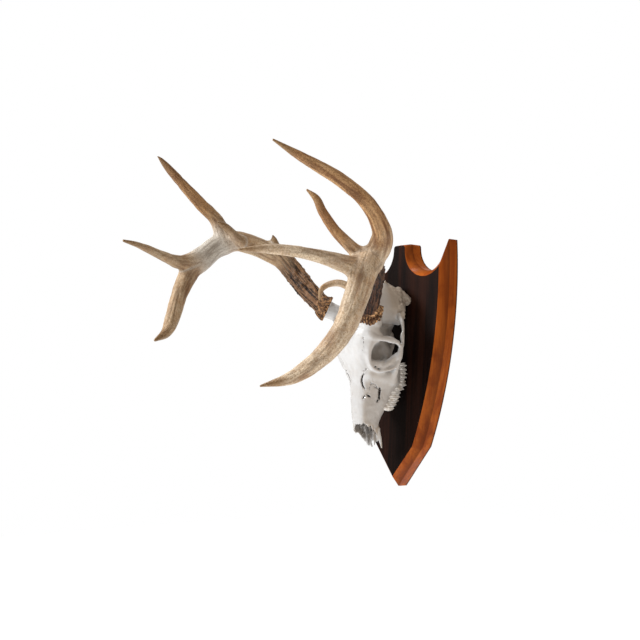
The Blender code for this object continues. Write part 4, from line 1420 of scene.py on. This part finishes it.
def build_antler(name, hand, table, look, stands_for, horn):
    rows = {
        limb: [(*antler_point(hand, *row[:3]), row[3]) for row in points]
        for limb, points in table.items()
    }
    everything = np.array(list(itertools.chain.from_iterable(rows.values())))[:, :3]
    low = everything.min(0) - LIMB_REACH
    high = everything.max(0) + LIMB_REACH
    field = Field(low, high, ANTLER_STEP)
    beam = Limb("beam", rows["beam"])
    limbs = [beam]
    for limb, points in rows.items():
        spots = np.array(points)[:, :3]
        patch = field.patch(spots.min(0) - LIMB_REACH, spots.max(0) + LIMB_REACH)
        add_limb(patch, curve(points, ANTLER_CURVE_STEP))
        field.join(patch, FORK_BLEND)
        if limb != "beam":
            fork = np.linalg.norm(beam.centre - spots[0], axis=1).argmin()
            limbs.append(Limb(limb, points, beam.along[fork]))
    seat = Vector(antler_point(hand, 0, 0, 0))
    normal = Vector((hand * SEAT_AXIS.x, -SEAT_AXIS.y, SEAT_AXIS.z))
    beads = add_burr(field, hand, seat, normal)
    points, faces = keep_main_body(*surface(field))
    normals = point_normals(points, faces)

    measures = [limb.measure(points) for limb in limbs]
    weights = np.array([np.exp(-np.maximum(gap, -0.004) / 0.0022) for gap, *_ in measures])
    weights /= weights.sum(0)
    streak, furrow, stain, tip, along = limb_grain(limbs, measures, weights, look["stain"])
    root = step_between(along, *look["root"]) * step_between(weights[0], 0.15, 0.85)
    calm = step_between(tip, 0.9, 0.1)
    pearl = step_between(grain(points, 0.0040, 71), 0.52, 0.82)
    on_bead = step_between(nearest_spot(points, beads)[1], 0.0062, 0.0044)
    lift = -furrow * calm * (0.00055 + 0.0011 * root)
    lift += pearl * root * 0.0011 + (layered_grain(points, 0.011, 2, 77) - 0.5) * 0.0009 * calm
    lift *= 1 - on_bead
    points = points + normals * lift[:, None]
    points = trim(points, seat + normal * CONTACT_GAP / 2, -normal)
    points = keep_inside(points)
    antler = add_piece(name, points, faces, horn, stands_for)

    store(antler, "streak", streak)
    store(antler, "groove", np.clip(furrow * calm * (0.6 + 0.6 * root), 0, 1))
    store(antler, "base", root)
    store(antler, "tip", tip)
    store(antler, "stain", stain)
    store(antler, "bead", on_bead * 0.9)
    nearest = (weights.argmax(0), np.arange(len(points)))
    for place, key in enumerate(("along", "across", "around"), 1):
        store(antler, key, np.array([found[place] for found in measures])[nearest])
    store(antler, "single", step_between(weights.max(0), 0.70, 0.98))
    # Painted highlight where the surface turns to the lit side
    store(antler, "gold", step_between(normals @ np.array(LIT_SIDE), *look["gold"]))
    middle, reach, strength = look["web"]
    from_web = np.linalg.norm(points - antler_point(hand, *middle), axis=1)
    webbed = step_between(from_web, reach, 0.35 * reach)
    forked = step_between(weights.max(0), 0.92, 0.55) * (1 - root)
    store(antler, "pale", strength * np.maximum(webbed, 0.55 * forked))
    return antler


def limb_grain(limbs, measures, weights, stains):
    """Streaks, furrows, stain, nearness to a tip and place along, mixed at the forks."""
    streak, furrow, stain, tip, along = np.zeros((5, weights.shape[1]))
    for number, (limb, weight, (_, run, u, v)) in enumerate(zip(limbs, weights, measures)):
        place = np.column_stack([u, v, run])
        streak += weight * layered_grain(place, (0.0042, 0.0042, 0.034), 3, 41 + 10 * number)
        waves = layered_grain(place, (0.0062, 0.0062, 0.046), 2, 47 + 10 * number)
        furrow += weight * step_between(1 - np.abs(2 * waves - 1), 0.72, 0.97)
        grown = step_between(run - limb.along[0], 0.012, STAIN_REACH)
        brown = stains["beam"] + (stains[limb.name] - stains["beam"]) * grown
        brown = brown + 0.4 * (layered_grain(place, (0.02, 0.02, 0.05), 2, 53) - 0.5)
        stain += weight * np.minimum(brown, STAIN_LIMIT)
        tip += weight * step_between(limb.end - run, 0.060, 0.004)
        along += weight * run
    return streak, furrow, stain, tip, along


# Studio


def view_back():
    """Direction from the board towards the camera."""
    return Vector((
        math.sin(VIEW_AZIMUTH) * math.cos(VIEW_PITCH),
        -math.cos(VIEW_AZIMUTH) * math.cos(VIEW_PITCH),
        math.sin(VIEW_PITCH),
    ))


def pale_floor(colour):
    paint = Paint("pale_floor", Roughness=0.9, Emission_Strength=0.68)
    haze = paint.noise(paint.place(), 2.0, 2.0)
    pale = paint.blend(haze.rising(0.3, 0.7), colour, tuple(min(1.0, c * 1.02) for c in colour))
    return paint.finish(Base_Color=pale, Emission_Color=(0.98, 0.99, 1.0))


def add_floor():
    """Pale sweep that the object hangs clear of."""
    floor_z = BOARD_LOW.z - FLOOR_DROP
    signs = ((-1, -1), (1, -1), (1, 1), (-1, 1))
    mesh = bpy.data.meshes.new("studio_floor")
    mesh.from_pydata([(x * FLOOR_REACH, y * FLOOR_REACH, floor_z) for x, y in signs], [],
                     [(0, 1, 2, 3)])
    mesh.materials.append(pale_floor((0.92, 0.92, 0.92)))
    floor = in_scene("studio_floor", mesh)


def add_lamp(name, place, width, watts):
    light = bpy.data.lights.new(name, "AREA")
    light.shape = "DISK"
    light.size = width
    light.energy = watts
    lamp = in_scene(name, light)
    lamp.location = place
    aim = Vector(LIT_MIDDLE) - Vector(place)
    lamp.rotation_euler = aim.to_track_quat("-Z", "Y").to_euler()


def add_room_light():
    """Soft warm light all round, turning white behind the object as the photo shows it."""
    world = bpy.data.worlds.new("white_studio")
    world.use_nodes = True
    room = Nodes(world.node_tree)
    direction = room.node("ShaderNodeTexCoord")
    facing = room.node("ShaderNodeVectorMath", {"operation": "DOT_PRODUCT"},
                       {0: direction, 1: -view_back()}, out=1)
    stops = tuple(zip(BACKDROP_EDGE, (ROOM_LIGHT, BACKDROP_LIGHT)))
    glow = room.node("ShaderNodeValToRGB", {"stops": stops, "interpolation": "EASE"},
                     {"Fac": facing})
    room.plug(world.node_tree.nodes["Background"].inputs["Color"], glow)
    bpy.context.scene.world = world


def add_studio():
    add_floor()
    add_room_light()
    for name, (place, width, watts) in LAMPS.items():
        add_lamp(name, place, width, watts)
    bpy.context.scene.view_settings.view_transform = "Standard"


def add_camera():
    back = view_back()
    right = Vector((math.cos(VIEW_AZIMUTH), math.sin(VIEW_AZIMUTH), 0.0))
    up = back.cross(right)
    rolled_right = right * math.cos(VIEW_ROLL) + up * math.sin(VIEW_ROLL)
    rolled_up = up * math.cos(VIEW_ROLL) - right * math.sin(VIEW_ROLL)
    turn = Matrix((rolled_right, rolled_up, back)).transposed()
    camera = bpy.data.cameras.new("photo_camera")
    camera.sensor_width = SENSOR
    camera.lens = SENSOR * LENS_IN_PIXELS / FRAME_IN_PIXELS
    holder = in_scene("photo_camera", camera)
    place = back * VIEW_DISTANCE + right * VIEW_SLIDE[0] + up * VIEW_SLIDE[1]
    holder.matrix_world = Matrix.Translation(place) @ turn.to_4x4()
    bpy.context.scene.camera = holder


def main():
    add_camera()
    build_board(dark_walnut(), varnished_edge())
    build_skull(bleached_bone())
    build_teeth(tooth_enamel())
    near_horn = weathered_antler("weathered_antler", (1.0, 1.0, 1.0), (0.58, 0.510, 0.410), 0.10)
    # The far antler is a darker copy: painted shade for the less light it gets
    far_horn = weathered_antler("greyer_shaded_antler", (0.74, 0.70, 0.64), (0.76, 0.78, 0.77), 1.0)
    build_antler("horn_left", 1, LEFT_LIMBS, LEFT_LOOK, "antler_left", near_horn)
    build_antler("horn_right", -1, RIGHT_LIMBS, RIGHT_LOOK, "antler_right", far_horn)
    add_studio()


main()
